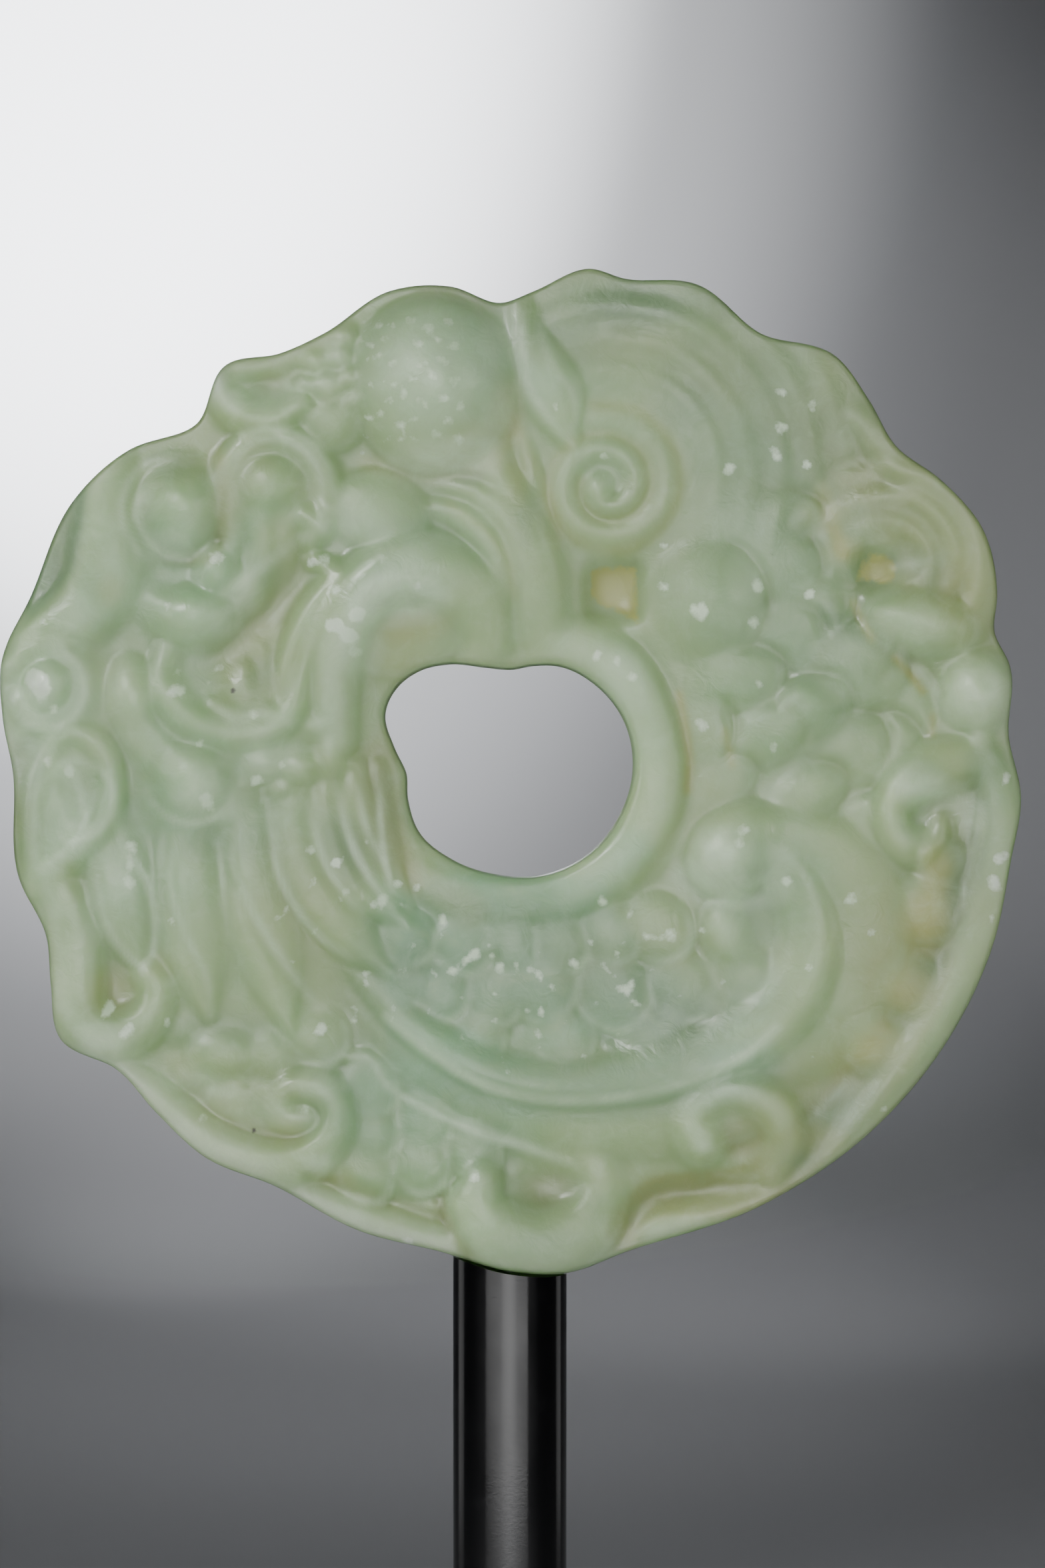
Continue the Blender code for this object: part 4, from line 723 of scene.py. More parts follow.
def stain_milk_and_highlights(c):
    """Cloudy white on the pearl and the boss, and painted highlights on the knobs, the crests and along
    the borders.
    """
    # Painted highlights mixed with the cloudy white: on knobs, crests and rims.
    c.dabs("milk_and_highlight", (
        (41, -17, 7, 7.5, 0.8), (-91, 16, 6, 7, 0.7), (-84, 12, 12, 16, 0.25), (91.5, 14, 9, 9, 1.0),
        (-15, 76, 15, 16, 0.5), (38, 32, 11, 11, 0.15), (-62, -2, 8, 8, 0.2), (-18, 38, 13, 7, 0.35),
        (-27, 50, 8, 7, 0.25), (-86, -6, 5, 8, 0.3), (7, 76, 4, 9, 0.35), (81, 29, 11, 5, 0.2),
        (22, 18, 8, 8, 0.35), (47, -54, 12, 7, 0.3), (-62, 28, 8, 6, 0.25), (-36, 26, 5, 9, 0.35),
        (-72, 36, 10, 9, 0.2), (79, -2, 7, 5, 0.5), (-22, 33, 12, 6, 0.9), (-13, 60, 13, 6, 0.6),
        (-14, 76, 17, 18, 0.35), (-74, 14, 6, 10, 0.4), (-60, -6, 8, 5, 0.4), (-96, 10, 6, 16, 0.6),
        (-30, 47, 8, 5, 0.4), (42, -15, 8, 8, 0.5), (-80, -24, 5, 14, 0.3), (76, 26, 12, 5, 0.4),
        (-67.6, 44, 6, 4, 0.6), (-55, 29, 4, 4, 0.6), (-21, 44, 9, 4, 0.5), (45, 30, 5, 6, 0.3),
        (44, -23, 5, 5, 0.4), (-62, 48, 5, 6, 0.5), (-54, 72, 3, 3, 0.5), (19.5, 58, 4, 5, 0.4),
        (64, 18, 5, 4, 0.3), (44, -31, 5, 6, 0.6), (-37, -77, 4, 3, 0.6), (-34, 50, 5, 6, 0.5),
        (-52, 34, 5, 5, 0.5), (-61, 19, 5, 6, 0.6), (-85, 30, 6, 5, 0.5), (-29, 25, 5, 9, 0.6),
        (-18, 34, 8, 4, 0.6), (-1.7, 84, 5, 8, 0.5), (-7, 61, 7, 5, 0.5), (16, 41, 5, 4, 0.5),
        (46, 38, 5, 7, 0.5), (76, 41, 6, 5, 0.5), (51, -18, 5, 5, 0.6), (79, -11, 5, 5, 0.6),
        (-84, -38, 4, 9, 0.4), (-75, -20, 5, 8, 0.4), (-47, 2, 9, 6, 0.7), (-59, -4, 9, 7, 0.5),
        (-37, -61, 6, 4, 0.5), (44, -69, 6, 5, 0.4), (-50, 10, 10, 4, 0.6)))
    c.streaks("milk_and_highlight", (
        (((95, -6), (95.5, -18), (91.5, -32), (85.6, -44), (77.4, -55), (67.4, -66), (57.4, -75),
          (44, -84), (28, -91)), (2, 4, 6, 6, 4, 3), (0.1, 0.15, 0.3, 0.3, 0.1, 0.3)),
        (((-34, 8), (-33, 20), (-28, 32), (-18, 37)), 5, 0.6),
        (((34, -20), (42, -24), (52, -23)), 4, 0.9),
        (((78, -4), (86, -5), (90, -9)), 4, 0.7),
        (((-92, 2), (-91, -14), (-88, -26)), 4, 0.5),
        (((-56, 74), (-48, 72), (-38, 76), (-32, 82)), 4, 0.5),
        (((-62, -60), (-52, -66), (-40, -68)), 4, 0.5),
        (((-86, 2), (-84, -6), (-86, -14)), 4, 0.6),
        (((12, 25), (20, 21), (26.4, 12), (29, 2), (28, -8), (22, -17), (12, -23.6)), 5, 0.4),
        (((-14, -94), (-30, -89.6), (-46, -81), (-58, -73), (-70, -63), (-80, -54)), 6, 0.6),
        (((-6, -84), (-4, -90), (2, -94), (10, -95), (18, -92)), 6, 0.35)))


def stain_amber(c):
    """Honey tones in the petals and the clefts, and thin amber cracks right of the hole."""
    c.dabs("amber", (
        (65, 43, 5, 4, 0.5), (62, 50, 6, 5, 0.4), (68, 57, 7, 5, 0.3), (88, 36, 5, 8, 0.3),
        (81, -30, 6, 8, 0.9), (83, -19, 4, 7, 0.8), (78, -43, 6, 5, 0.7), (72, -53, 6, 5, 0.6),
        (68, -58, 7, 6, 0.35), (-78, -43, 6, 6, 0.4), (-68, -38, 4, 4, 0.3), (-34, -79, 5, 3, 0.3),
        (-64, -57, 5, 4, 0.3), (-56, -67, 8, 4, 0.35), (-44, -70, 5, 3, 0.3), (-57, 61, 3, 3, 0.4),
        (-78, 35, 3, 4, 0.35), (-19, 29, 9, 5, 0.5), (-8, 60, 10, 4, 0.5), (0, 70, 4, 9, 0.4),
        (24, 84, 12, 5, 0.2), (-8, 64, 6, 5, 0.5), (1.6, 57, 3, 7, 0.4), (59, -72, 8, 4, 0.5),
        (-21, 24, 7, 9, 0.3), (-86, -22, 4, 6, 0.3)))
    c.streaks("amber", (
        (((67, 33), (68.4, 30), (70.8, 25.6)), 0.7, 1.5),
        (((75, 22.4), (78, 19), (80.8, 15.4)), 0.7, 1.5),
        (((82.6, 11), (82.4, 7)), 0.7, 1.4),
        (((33, 15), (35, 4), (34.8, -4)), 1.0, 1.3),
        (((42, 8), (43.4, 1)), 0.9, 0.9),
        (((61, 55), (62.5, 50), (65, 43)), 2.0, 0.5),
        (((63, 47), (65, 42)), 0.8, 1.0),
        (((-28, 60), (-15, 57.6), (-3, 61.4), (0.4, 68)), 2.2, 0.35),
        (((-45, 46), (-43, 36), (-48, 27), (-55, 21)), 5, 0.3),
        (((2, 66), (8, 52), (9, 44)), 1.6, 0.3),
        (((-12, 52), (-2, 44), (1, 34)), 1.2, 0.3),
        (spiral((19, 55.8), (5.2, 16), 170, 820, stops=22), 1.5, 0.4)))


def stain_moss_and_shade(c):
    """Olive tones and painted shade in the hollows by the rim, along the upper arc and beside the neck.
    """
    # Painted shade in the hollows, together with the stone's olive tone.
    c.streaks("moss_and_shade", (
        (((22, -90), (25, -86), (31, -82.6), (44, -82), (54, -76), (62, -68)), 4.4, 1.0),
        (((29, -83.5), (47, -82), (56, -75), (67, -63.6), (76, -52), (82, -38), (84, -22)),
         5.6, (1.2, 1.6, 1.8, 1.8, 1.6, 1.4, 0.9)),
        (((50, -70), (62, -60), (72, -46), (78, -32)), 10, 0.6),
        (((-38, -79.4), (-26, -84), (-13, -88)), 2.6, 0.45),
        (((-63, -62), (-55, -69), (-42, -71)), 3.6, 0.35),
        (((-24, -5), (-21, -15), (-19, -22)), 2.4, 0.7),
        (((-25, 6), (-24, -4)), 4, 0.5),
        (((-56, 60), (-57, 43), (-62, 41)), 1.6, 0.5),
        (((76, 46), (80, 42), (78, 37)), 3, 0.6),
        (((-14, -84), (-12, -89), (-8, -95)), 1.4, 0.6),
        (((-97, -12), (-95, 2)), 2.4, 0.4),
        (((6, 92), (34, 86), (56, 76), (70, 63), (82, 48), (90, 34)), 14, 0.9),
        (((14, -36), (28, -36), (42, -42)), 9, 0.5),
        (((-27, 2), (-25, -10), (-19, -20), (-8, -27)), 5, 0.8),
        (((-44, -20), (-36, -36), (-28, -52)), 9, 0.35),
        (((-62, 60), (-56, 68), (-50, 62), (-57, 50)), 6, 0.5),
        (((-52, 12), (-48, 22), (-50, 32)), 8, 0.5),
        (((86, 2), (88, -10), (90, -26)), 6, 0.6)))
    c.dabs("moss_and_shade", (
        (7, -82, 6, 4.4, 0.8), (-46, 76, 5, 3, 0.5), (-78, -43, 5, 6, 0.5), (0, -32, 14, 5, 0.2),
        (-53, -60, 14, 6, 0.3), (-24, 22, 6, 9, 0.3), (20, -62, 36, 8, 0.35), (68, -30, 9, 18, 0.5),
        (52, 8, 26, 30, 0.2), (-24, -4, 5, 16, 0.5), (-88, 44, 5, 14, 0.7), (-97, -8, 5, 18, 0.6),
        (64, -72, 40, 20, 0.5), (84, -40, 20, 40, 0.45), (82, 44, 22, 30, 0.35), (44, 48, 36, 24, 0.45),
        (66, 60, 24, 20, 0.4), (-46, -70, 34, 18, 0.35), (-84, -40, 16, 26, 0.25),
        (-40, -18, 16, 30, 0.3), (24, -84, 34, 12, 0.35), (-30, 62, 24, 14, 0.25)))


def stain_teal(c):
    """Blue-green where the stone is clearest: under the hole, along the belly and at the top."""
    c.streaks("teal", (
        (((48, -58), (34, -61), (18, -62.5), (4, -62), (-8, -58), (-18, -50)), 7, 1.0),
        (((-12, -25), (0, -27), (14, -24), (24, -15)), 5, 0.8),
        (((-14, -40), (-6, -33), (4, -32), (14, -35)), 11, 1.4),
        (((4, 92), (30, 90), (52, 80)), 10, 0.8),
        (((10, -38), (26, -44), (40, -44)), 12, 0.6)))
    c.dabs("teal", (
        (0, -38, 34, 20, 1.0), (-16, -66, 26, 18, 0.7), (24, -52, 26, 14, 0.5), (-6, -26, 26, 10, 0.8),
        (-26, -58, 14, 20, 0.6), (22, 14, 12, 18, 0.4), (60, 56, 34, 22, 0.7), (46, 40, 24, 16, 0.5),
        (-20, 46, 20, 14, 0.5), (-62, 0, 24, 18, 0.5), (-60, 38, 26, 24, 0.5), (52, 14, 20, 26, 0.6),
        (10, 84, 30, 14, 0.5), (-15, 80, 18, 16, 0.6), (60, 70, 22, 16, 0.5), (50, -22, 16, 16, 0.6),
        (-76, -20, 22, 24, 0.5), (-90, 14, 12, 12, 0.5), (3, -37, 14, 8, 0.9), (48, -43, 8, 8, 0.6),
        (-46, -15, 15, 12, 0.5), (20, 58, 12, 12, 0.4), (-84, 30, 10, 12, 0.4), (-24, 34, 12, 8, 0.4)))


def stain_shade(c):
    """Painted shade: places laid darker over the face and along the lower right rim."""
    c.dabs("shade", (
        (0, -38, 34, 14, 0.55), (30, -46, 16, 10, 0.4), (-24, -42, 12, 16, 0.4),
        (52, 66, 32, 22, 0.55, -30), (30, 92, 26, 5, 0.6, -6), (34, 73, 9, 8, 0.4),
        (65, 29, 7, 4, 0.5, -30), (82, 39.6, 6, 5, 0.5), (34, -50, 12, 8, 0.6), (20, -44, 14, 8, 0.3),
        (-66, 60, 6, 4, 0.5), (-3, -76, 7, 9, 0.5), (-56, -51, 13, 5, 0.5), (-31, -16, 6, 9, 0.5, 20),
        (66, -67, 16, 5, 0.5, 45), (8, -93, 14, 4, 0.5), (23, 90, 12, 6, 0.6), (-50, 19, 5, 6, 0.4),
        (-10, 58, 6, 3, 0.6), (80, 0, 5, 4, 0.6), (-94, 2, 4, 6, 0.9), (36, 32, 12, 10, 0.35),
        (-27, 36, 5, 8, 0.4, -40), (3, 50, 4, 8, 0.5), (-8, 58, 5, 3, 0.6), (-33, -14, 5, 10, 0.5, 20),
        (-56, -14, 16, 5, 0.35), (-57, 77, 3, 4, 0.6), (-46, 40, 5, 5, 0.3), (66, 26, 22, 28, 0.45),
        (62, -69, 18, 7, 0.8, 48), (-94.5, -6, 5, 16, 0.8), (-90, 45, 6, 14, 1.0, -20),
        (-24, -4, 6, 18, 0.6), (46, -26, 20, 14, 0.25), (20, -60, 42, 9, 0.45), (8, -86, 15, 8, 0.5),
        (-80, -49, 12, 7, 0.4), (4, -25, 24, 6, 0.35), (14, 86, 18, 9, 0.35), (-36, -60, 14, 12, 0.3),
        (28, 40, 8, 12, 0.3), (88, -12, 8, 14, 0.35)))
    c.streaks("shade", (
        # Painted shade along the lower right rim.
        (((93, 2), (92.6, -12), (89, -26), (83, -40), (75, -53), (66, -64), (56, -73)),
         5, (0.7, 0.7, 0.6, 0.4, 0.25, 0.2, 0.1)),
        (((85, -16), (86, -28), (80, -42)), 4, 0.5)))


def stain_grains(c):
    """A few black grains in the stone."""
    for at, size in (
            ((-50, -70.3), 0.55), ((4.3, -81), 0.45), ((27.3, -45.5), 0.4), ((35, -62), 0.35),
            ((51, 42), 0.5), ((32, 23), 0.4), ((51, 16.5), 0.35), ((58.8, 22.5), 0.35), ((52.4, 13), 0.3),
            ((-24, 33.5), 0.45), ((-26, 44), 0.3), ((-23, -64.5), 0.35), ((-54, 15.6), 0.6)):
        c.dab("grit", at, size, strength=3.0)


def carved_face(stops):
    """The whole carving: the forms one after the other, then the fine lines and the stains."""
    carving = Carving(stops, GROUND_SHARE)
    motifs = (carve_masses, carve_body, carve_great_scroll, carve_right_comma, carve_scales, carve_ring,
              carve_rim, carve_right_curl, carve_lower_right, carve_belly, carve_bottom_curl,
              carve_lower_left, carve_left_hook, carve_mane, carve_throat, carve_ear, carve_left_scroll,
              carve_eyes, carve_clouds, carve_neck, carve_snout, carve_pearl, carve_fine_lines,
              stain_patches, stain_flecks_and_glints, stain_pearl, stain_milk_and_highlights, stain_amber, stain_moss_and_shade, stain_teal,
              stain_shade, stain_grains)
    for motif in motifs:
        motif(carving)
    return carving


# THE JADE ROUNDEL: THE CARVED FACE
# The relief is worked out once on a fine grid over the face, then softened a little by the polish
# and more broadly by wear. The same grid says where the stone is milky, mossy or amber, and its
# hollows give painted shade and its ridges painted highlights. The tones blur less than the relief.
GRID_STEP = 0.3
GRID_REACH = 108.0
POLISH = 0.7
STAIN_BLUR = 0.45
WEAR = 0.48
WORN_SIZE = 5.0
FINE_CAVITY = 1.1
BROAD_CAVITY = 5.0


def soften(field, width):
    """The field blurred by a bell curve whose half width is given in the carving's units."""
    waves = np.fft.fftfreq(field.shape[0]) / GRID_STEP * width
    bell = np.exp(-2 * (math.pi * waves) ** 2)
    return np.fft.ifft2(np.fft.fft2(field) * bell[:, None] * bell[None, :]).real


def on_face(field, x, z):
    """The grid's value at places of the face, in the carving's units."""
    column = np.clip((x + GRID_REACH) / GRID_STEP, 0, field.shape[1] - 1.001)
    row = np.clip((z + GRID_REACH) / GRID_STEP, 0, field.shape[0] - 1.001)
    i = column.astype(int)
    j = row.astype(int)
    right = column - i
    up = row - j
    low = field[j, i] * (1 - right) + field[j, i + 1] * right
    high = field[j + 1, i] * (1 - right) + field[j + 1, i + 1] * right
    return low * (1 - up) + high * up


grid_stops = np.arange(-GRID_REACH, GRID_REACH, GRID_STEP)
grid_shape = (len(grid_stops), len(grid_stops))
carving = carved_face(grid_stops)
ground_height = np.clip(carving.height, 0, 1).reshape(grid_shape)
relief = (1 - WEAR) * soften(ground_height, POLISH) + WEAR * soften(ground_height, WORN_SIZE)
stains = {name: soften(layer.reshape(grid_shape), STAIN_BLUR)
          for name, layer in carving.stains.items()}
fine_cavity = relief - soften(relief, FINE_CAVITY)
broad_cavity = relief - soften(relief, BROAD_CAVITY)


# THE JADE ROUNDEL: THE STONE
# A plain ring is made round the hole's axis, and its points then move to the lobed outline and
# out to the carved height. The back is ground flat and polished, and the rim is rounded.
SECTORS = 640
FACE_RINGS = 122
BACK_RINGS = 16
CROWDING = 0.55
EDGE_ROWS = 8
PLATE_THICKNESS = 0.0045
EDGE_THICKNESS = 0.0026
EDGE_BULGE = 0.0001
RIM_ROUNDING = 0.00025
RIM_EDGE_SHARE = 0.75
RIM_CURVE = 2.5
HOLE_ROUNDING = 0.0004
HOLE_EDGE_SHARE = 0.92
HOLE_CURVE = 2.2


def crowded_stops(count):
    """Stops from 1 to 2 that crowd a little towards both ends."""
    even = np.linspace(0, 1, count + 1)
    crowded = 0.5 - 0.5 * np.cos(np.pi * even)
    return 1 + (1 - CROWDING) * even + CROWDING * crowded


def closed_ring():
    """A ring from 1 to 2 about the Y axis, its face at -1 and its back at 1: a grid rolled up twice."""
    rows = np.linspace(-1, 1, EDGE_ROWS + 1)[1:-1]
    section = [(far, -1) for far in crowded_stops(FACE_RINGS)]
    section += [(2, y) for y in rows]
    section += [(far, 1) for far in reversed(crowded_stops(BACK_RINGS))]
    section += [(1, y) for y in reversed(rows)]
    bm = bmesh.new()
    bmesh.ops.create_grid(bm, x_segments=SECTORS, y_segments=len(section), size=0.5)
    for v in bm.verts:
        turn = 2 * math.pi * (v.co.x + 0.5)
        far, y = section[round((v.co.y + 0.5) * len(section)) % len(section)]
        v.co = (far * math.cos(turn), y, far * math.sin(turn))
    bmesh.ops.remove_doubles(bm, verts=bm.verts, dist=1e-5)
    bmesh.ops.recalc_face_normals(bm, faces=bm.faces)
    return bm


def add_mesh(name, bm, material):
    """Adds a finished mesh to the scene, smooth shaded, in its material."""
    mesh = bpy.data.meshes.new(name)
    bm.to_mesh(mesh)
    bm.free()
    mesh.materials.append(material)
    mesh.shade_smooth()
    thing = bpy.data.objects.new(name, mesh)
    bpy.context.scene.collection.objects.link(thing)
    return thing


def add_piece(name, bm, material, node):
    """Adds a finished mesh as a piece of the object that stands for one of the part's solids."""
    piece = add_mesh(name, bm, material)
    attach(piece, "root")
    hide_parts(node)
    return piece


disc_low, disc_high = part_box("jade_roundel")
turns = np.arange(0, 360, 0.5)
reach_x = round_edge(RIM, turns) * np.cos(np.radians(turns))
reach_z = round_edge(RIM, turns) * np.sin(np.radians(turns))
disc_radius = (disc_high.x - disc_low.x) / (reach_x.max() - reach_x.min())
disc_x = disc_low.x - reach_x.min() * disc_radius
disc_z = disc_low.z - reach_z.min() * disc_radius
disc_y = disc_high.y - PLATE_THICKNESS / 2
relief_depth = disc_y - PLATE_THICKNESS / 2 - disc_low.y


def place_on_roundel(points):
    """Moves the plain ring's points to the roundel, and gives their places in the carving's units."""
    angle = np.degrees(np.arctan2(points[:, 2], points[:, 0]))
    across = np.hypot(points[:, 0], points[:, 2]) - 1
    side = points[:, 1]
    rounding = np.sqrt(np.maximum(1 - side ** 2, 0)) - 1
    rim = round_edge(RIM, angle) * disc_radius + rounding * EDGE_BULGE
    hole = round_edge(HOLE, angle) * disc_radius - rounding * EDGE_BULGE
    far = hole + (rim - hole) * across
    x = far * np.cos(np.radians(angle))
    z = far * np.sin(np.radians(angle))
    near_rim = np.clip(1 - (rim - far) / RIM_ROUNDING, 0, 1)
    near_hole = np.clip(1 - (far - hole) / HOLE_ROUNDING, 0, 1)
    swell = 1 - (1 - RIM_EDGE_SHARE) * near_rim ** RIM_CURVE
    swell *= 1 - (1 - HOLE_EDGE_SHARE) * near_hole ** HOLE_CURVE
    units = 100 / disc_radius
    height = on_face(relief, x * units, z * units) * relief_depth
    half_edge = EDGE_THICKNESS / 2
    front = half_edge + (PLATE_THICKNESS / 2 - half_edge + height) * swell
    back = half_edge + (PLATE_THICKNESS / 2 - half_edge) * swell
    y = np.where(side < -0.999, -front, np.where(side > 0.999, back, side * half_edge))
    placed = np.stack([disc_x + x, disc_y + y, disc_z + z], 1)
    return placed, x * units, z * units, side


# Pale jade, polished: light soaks in a few millimetres before it comes out again. Ridges get a painted
# milky highlight and hollows painted shade in a greener tone. Its tones come from the carving's grid,
# kept at the points.
LIGHT_DEPTH = 0.006
HOLLOW_OF_FINE = 6
HOLLOW_OF_BROAD = 2.6
CREST_OF_FINE = 3
CREST_OF_BROAD = 3.0
MOSS_AND_SHADE_SHARE = 0.7
SHADE_IN_HOLLOWS = 0.16
MILK_AND_HIGHLIGHT_SHARE = 0.8
HIGHLIGHT_ON_CRESTS = 0.10


def paint(red, green, blue):
    """A colour as a paint chart gives it, 0 to 255, in the renderer's own linear numbers."""
    shares = (red / 255, green / 255, blue / 255)
    return tuple(s / 12.92 if s < 0.04045 else ((s + 0.055) / 1.055) ** 2.4 for s in shares) + (1.0,)


def add_node(tree, kind, place, **settings):
    """Adds a node to a material or a group, at a place in its editor and with its settings."""
    node = tree.nodes.new(kind)
    node.location = place
    for name, value in settings.items():
        setattr(node, name, value)
    return node


def polish_marks():
    """A shared effect: faint cloudy smears and hairline scratches on a polished surface."""
    group = bpy.data.node_groups.new("polish_marks", "ShaderNodeTree")
    for name in ("Smear Size", "Scratch Size", "Roughness Low", "Roughness High"):
        group.interface.new_socket(name, in_out="INPUT", socket_type="NodeSocketFloat")
    for name in ("Roughness", "Height"):
        group.interface.new_socket(name, in_out="OUTPUT", socket_type="NodeSocketFloat")
    start = add_node(group, "NodeGroupInput", (-900, 0))
    end = add_node(group, "NodeGroupOutput", (500, 0))
    place = add_node(group, "ShaderNodeTexCoord", (-900, -260))
    smear = add_node(group, "ShaderNodeTexNoise", (-600, 80), noise_dimensions="3D")
    smear.inputs["Detail"].default_value = 3
    scratch = add_node(group, "ShaderNodeTexNoise", (-600, -260), noise_dimensions="3D")
    scratch.inputs["Detail"].default_value = 5
    scratch.inputs["Distortion"].default_value = 1.5
    spread = add_node(group, "ShaderNodeMapRange", (-300, 80))
    spread.inputs["From Min"].default_value = 0.35
    spread.inputs["From Max"].default_value = 0.7
    link = group.links.new
    link(place.outputs["Object"], smear.inputs["Vector"])
    link(place.outputs["Object"], scratch.inputs["Vector"])
    link(start.outputs["Smear Size"], smear.inputs["Scale"])
    link(start.outputs["Scratch Size"], scratch.inputs["Scale"])
    link(smear.outputs["Fac"], spread.inputs["Value"])
    link(start.outputs["Roughness Low"], spread.inputs["To Min"])
    link(start.outputs["Roughness High"], spread.inputs["To Max"])
    link(spread.outputs["Result"], end.inputs["Roughness"])
    link(scratch.outputs["Fac"], end.inputs["Height"])
    return group


def add_polish(tree, marks, sizes, roughness, strength, distance):
    """Puts the shared polish in a material: its sizes, its roughness from low to high, and its bump."""
    shader = tree.nodes["Principled BSDF"]
    polish = add_node(tree, "ShaderNodeGroup", (-600, -900), node_tree=marks)
    polish.inputs["Smear Size"].default_value = sizes[0]
    polish.inputs["Scratch Size"].default_value = sizes[1]
    polish.inputs["Roughness Low"].default_value = roughness[0]
    polish.inputs["Roughness High"].default_value = roughness[1]
    bump = add_node(tree, "ShaderNodeBump", (-300, -900))
    bump.inputs["Strength"].default_value = strength
    bump.inputs["Distance"].default_value = distance
    tree.links.new(polish.outputs["Roughness"], shader.inputs["Roughness"])
    tree.links.new(polish.outputs["Height"], bump.inputs["Height"])
    tree.links.new(bump.outputs["Normal"], shader.inputs["Normal"])


def jade_material(marks):
    """Pale stone with cloudy wisps; teal and amber tones; mossy tones and painted shade; milky tones and
    painted highlights; flecks and painted glints; and grains.
    """
    material = bpy.data.materials.new("pale_jade")
    material.use_nodes = True
    tree = material.node_tree
    link = tree.links.new
    shader = tree.nodes["Principled BSDF"]
    place = add_node(tree, "ShaderNodeTexCoord", (-2300, 300))

    def noise(size, detail, roughness, distortion, at):
        """A cloudy pattern through the whole stone."""
        cloud = add_node(tree, "ShaderNodeTexNoise", at)
        cloud.inputs["Scale"].default_value = size
        cloud.inputs["Detail"].default_value = detail
        cloud.inputs["Roughness"].default_value = roughness
        cloud.inputs["Distortion"].default_value = distortion
        link(place.outputs["Object"], cloud.inputs["Vector"])
        return cloud.outputs["Fac"]

    def spread(value, low, high, least, most, at):
        """A value's range from low to high, stretched from least to most."""
        range_of = add_node(tree, "ShaderNodeMapRange", at)
        range_of.inputs["From Min"].default_value = low
        range_of.inputs["From Max"].default_value = high
        range_of.inputs["To Min"].default_value = least
        range_of.inputs["To Max"].default_value = most
        link(value, range_of.inputs["Value"])
        return range_of.outputs["Result"]

    def join(kind, first, second, at):
        """Two values added or multiplied."""
        sum_of = add_node(tree, "ShaderNodeMath", at, operation=kind)
        link(first, sum_of.inputs[0])
        link(second, sum_of.inputs[1])
        return sum_of.outputs["Value"]

    def mix(amount, below, above, at):
        """A colour laid over another, as strongly as the amount says."""
        blend = add_node(tree, "ShaderNodeMix", at, data_type="RGBA")
        link(amount, blend.inputs["Factor"])
        for socket, value in ((blend.inputs["A"], below), (blend.inputs["B"], above)):
            if isinstance(value, tuple):
                socket.default_value = value
            else:
                link(value, socket)
        return blend.outputs["Result"]

    wisps = noise(size=150, detail=5, roughness=0.55, distortion=0.3, at=(-2000, 700))
    cotton = noise(size=520, detail=6, roughness=0.68, distortion=0.6, at=(-2000, 400))
    grain = noise(size=1900, detail=3, roughness=0.6, distortion=0, at=(-2000, 100))
    wispy = spread(wisps, 0.35, 0.65, 0, 1, (-1800, 700))
    tone = mix(wispy, paint(168, 188, 140), paint(150, 178, 130), (-1500, 700))
    # The moss and milk layers carry painted shade and painted highlights besides the stone's olive and
    # milky tones; the shade layer is painted shade.
    for i, (stain, colour, share) in enumerate((("teal", paint(126, 170, 134), 0.7),
                                                ("moss_and_shade", paint(150, 150, 92), 0.62),
                                                ("shade", paint(96, 124, 92), 0.6),
                                                ("amber", paint(172, 170, 98), 0.7),
                                                ("milk_and_highlight", paint(202, 222, 192), 0.8))):
        amount = add_node(tree, "ShaderNodeAttribute", (-1800, -200 * i), attribute_name=stain)
        cloudy = spread(cotton, 0.3, 0.7, 0.65 * share, 1.35 * share, (-1600, -200 * i))
        ragged = join("MULTIPLY", amount.outputs["Fac"], cloudy, (-1400, -200 * i))
        tone = mix(ragged, tone, colour, (-1200, -200 * i))
    wool = spread(cotton, 0.5, 0.8, 0, 0.42, (-1500, 400))
    tone = mix(wool, tone, paint(188, 212, 174), (-1000, 400))
    depth = spread(wisps, 0.2, 0.65, 0.32, 0, (-1500, 250))
    tone = mix(depth, tone, paint(134, 158, 116), (-800, 400))
    # The fleck layer holds painted glints as well as milky crystals.
    for i, (stain, colour, edge) in enumerate((("tan", paint(178, 182, 112), 0.38),
                                               ("fleck_and_glint", paint(212, 228, 204), 0.32),
                                               ("grit", paint(46, 36, 26), 0.45))):
        amount = add_node(tree, "ShaderNodeAttribute", (-1000, -200 * i), attribute_name=stain)
        grainy = spread(grain, 0.3, 0.7, -0.22, 0.22, (-1000, -120 - 200 * i))
        ragged = join("ADD", amount.outputs["Fac"], grainy, (-800, -200 * i))
        crisp = spread(ragged, edge, edge + 0.4, 0, 0.9, (-600, -200 * i))
        tone = mix(crisp, tone, colour, (-400, -200 * i))
    link(tone, shader.inputs["Base Color"])
    add_polish(tree, marks, sizes=(260, 900), roughness=(0.28, 0.5), strength=0.25, distance=0.00015)
    shader.inputs["IOR"].default_value = 1.61
    shader.inputs["Specular IOR Level"].default_value = 0.35
    shader.inputs["Subsurface Weight"].default_value = 1.0
    shader.inputs["Subsurface Radius"].default_value = (0.85, 1.0, 0.75)
    shader.inputs["Subsurface Scale"].default_value = LIGHT_DEPTH
    return material


polish = polish_marks()
ring = closed_ring()
roundel = add_piece("carved_jade_roundel", ring, jade_material(polish), "jade_roundel")
ring_points = np.empty(len(roundel.data.vertices) * 3)
roundel.data.vertices.foreach_get("co", ring_points)
placed, face_x, face_z, side = place_on_roundel(ring_points.reshape(-1, 3))
roundel.data.vertices.foreach_set("co", placed.ravel())
roundel.data.update()
fine = on_face(fine_cavity, face_x, face_z)
broad = on_face(broad_cavity, face_x, face_z)
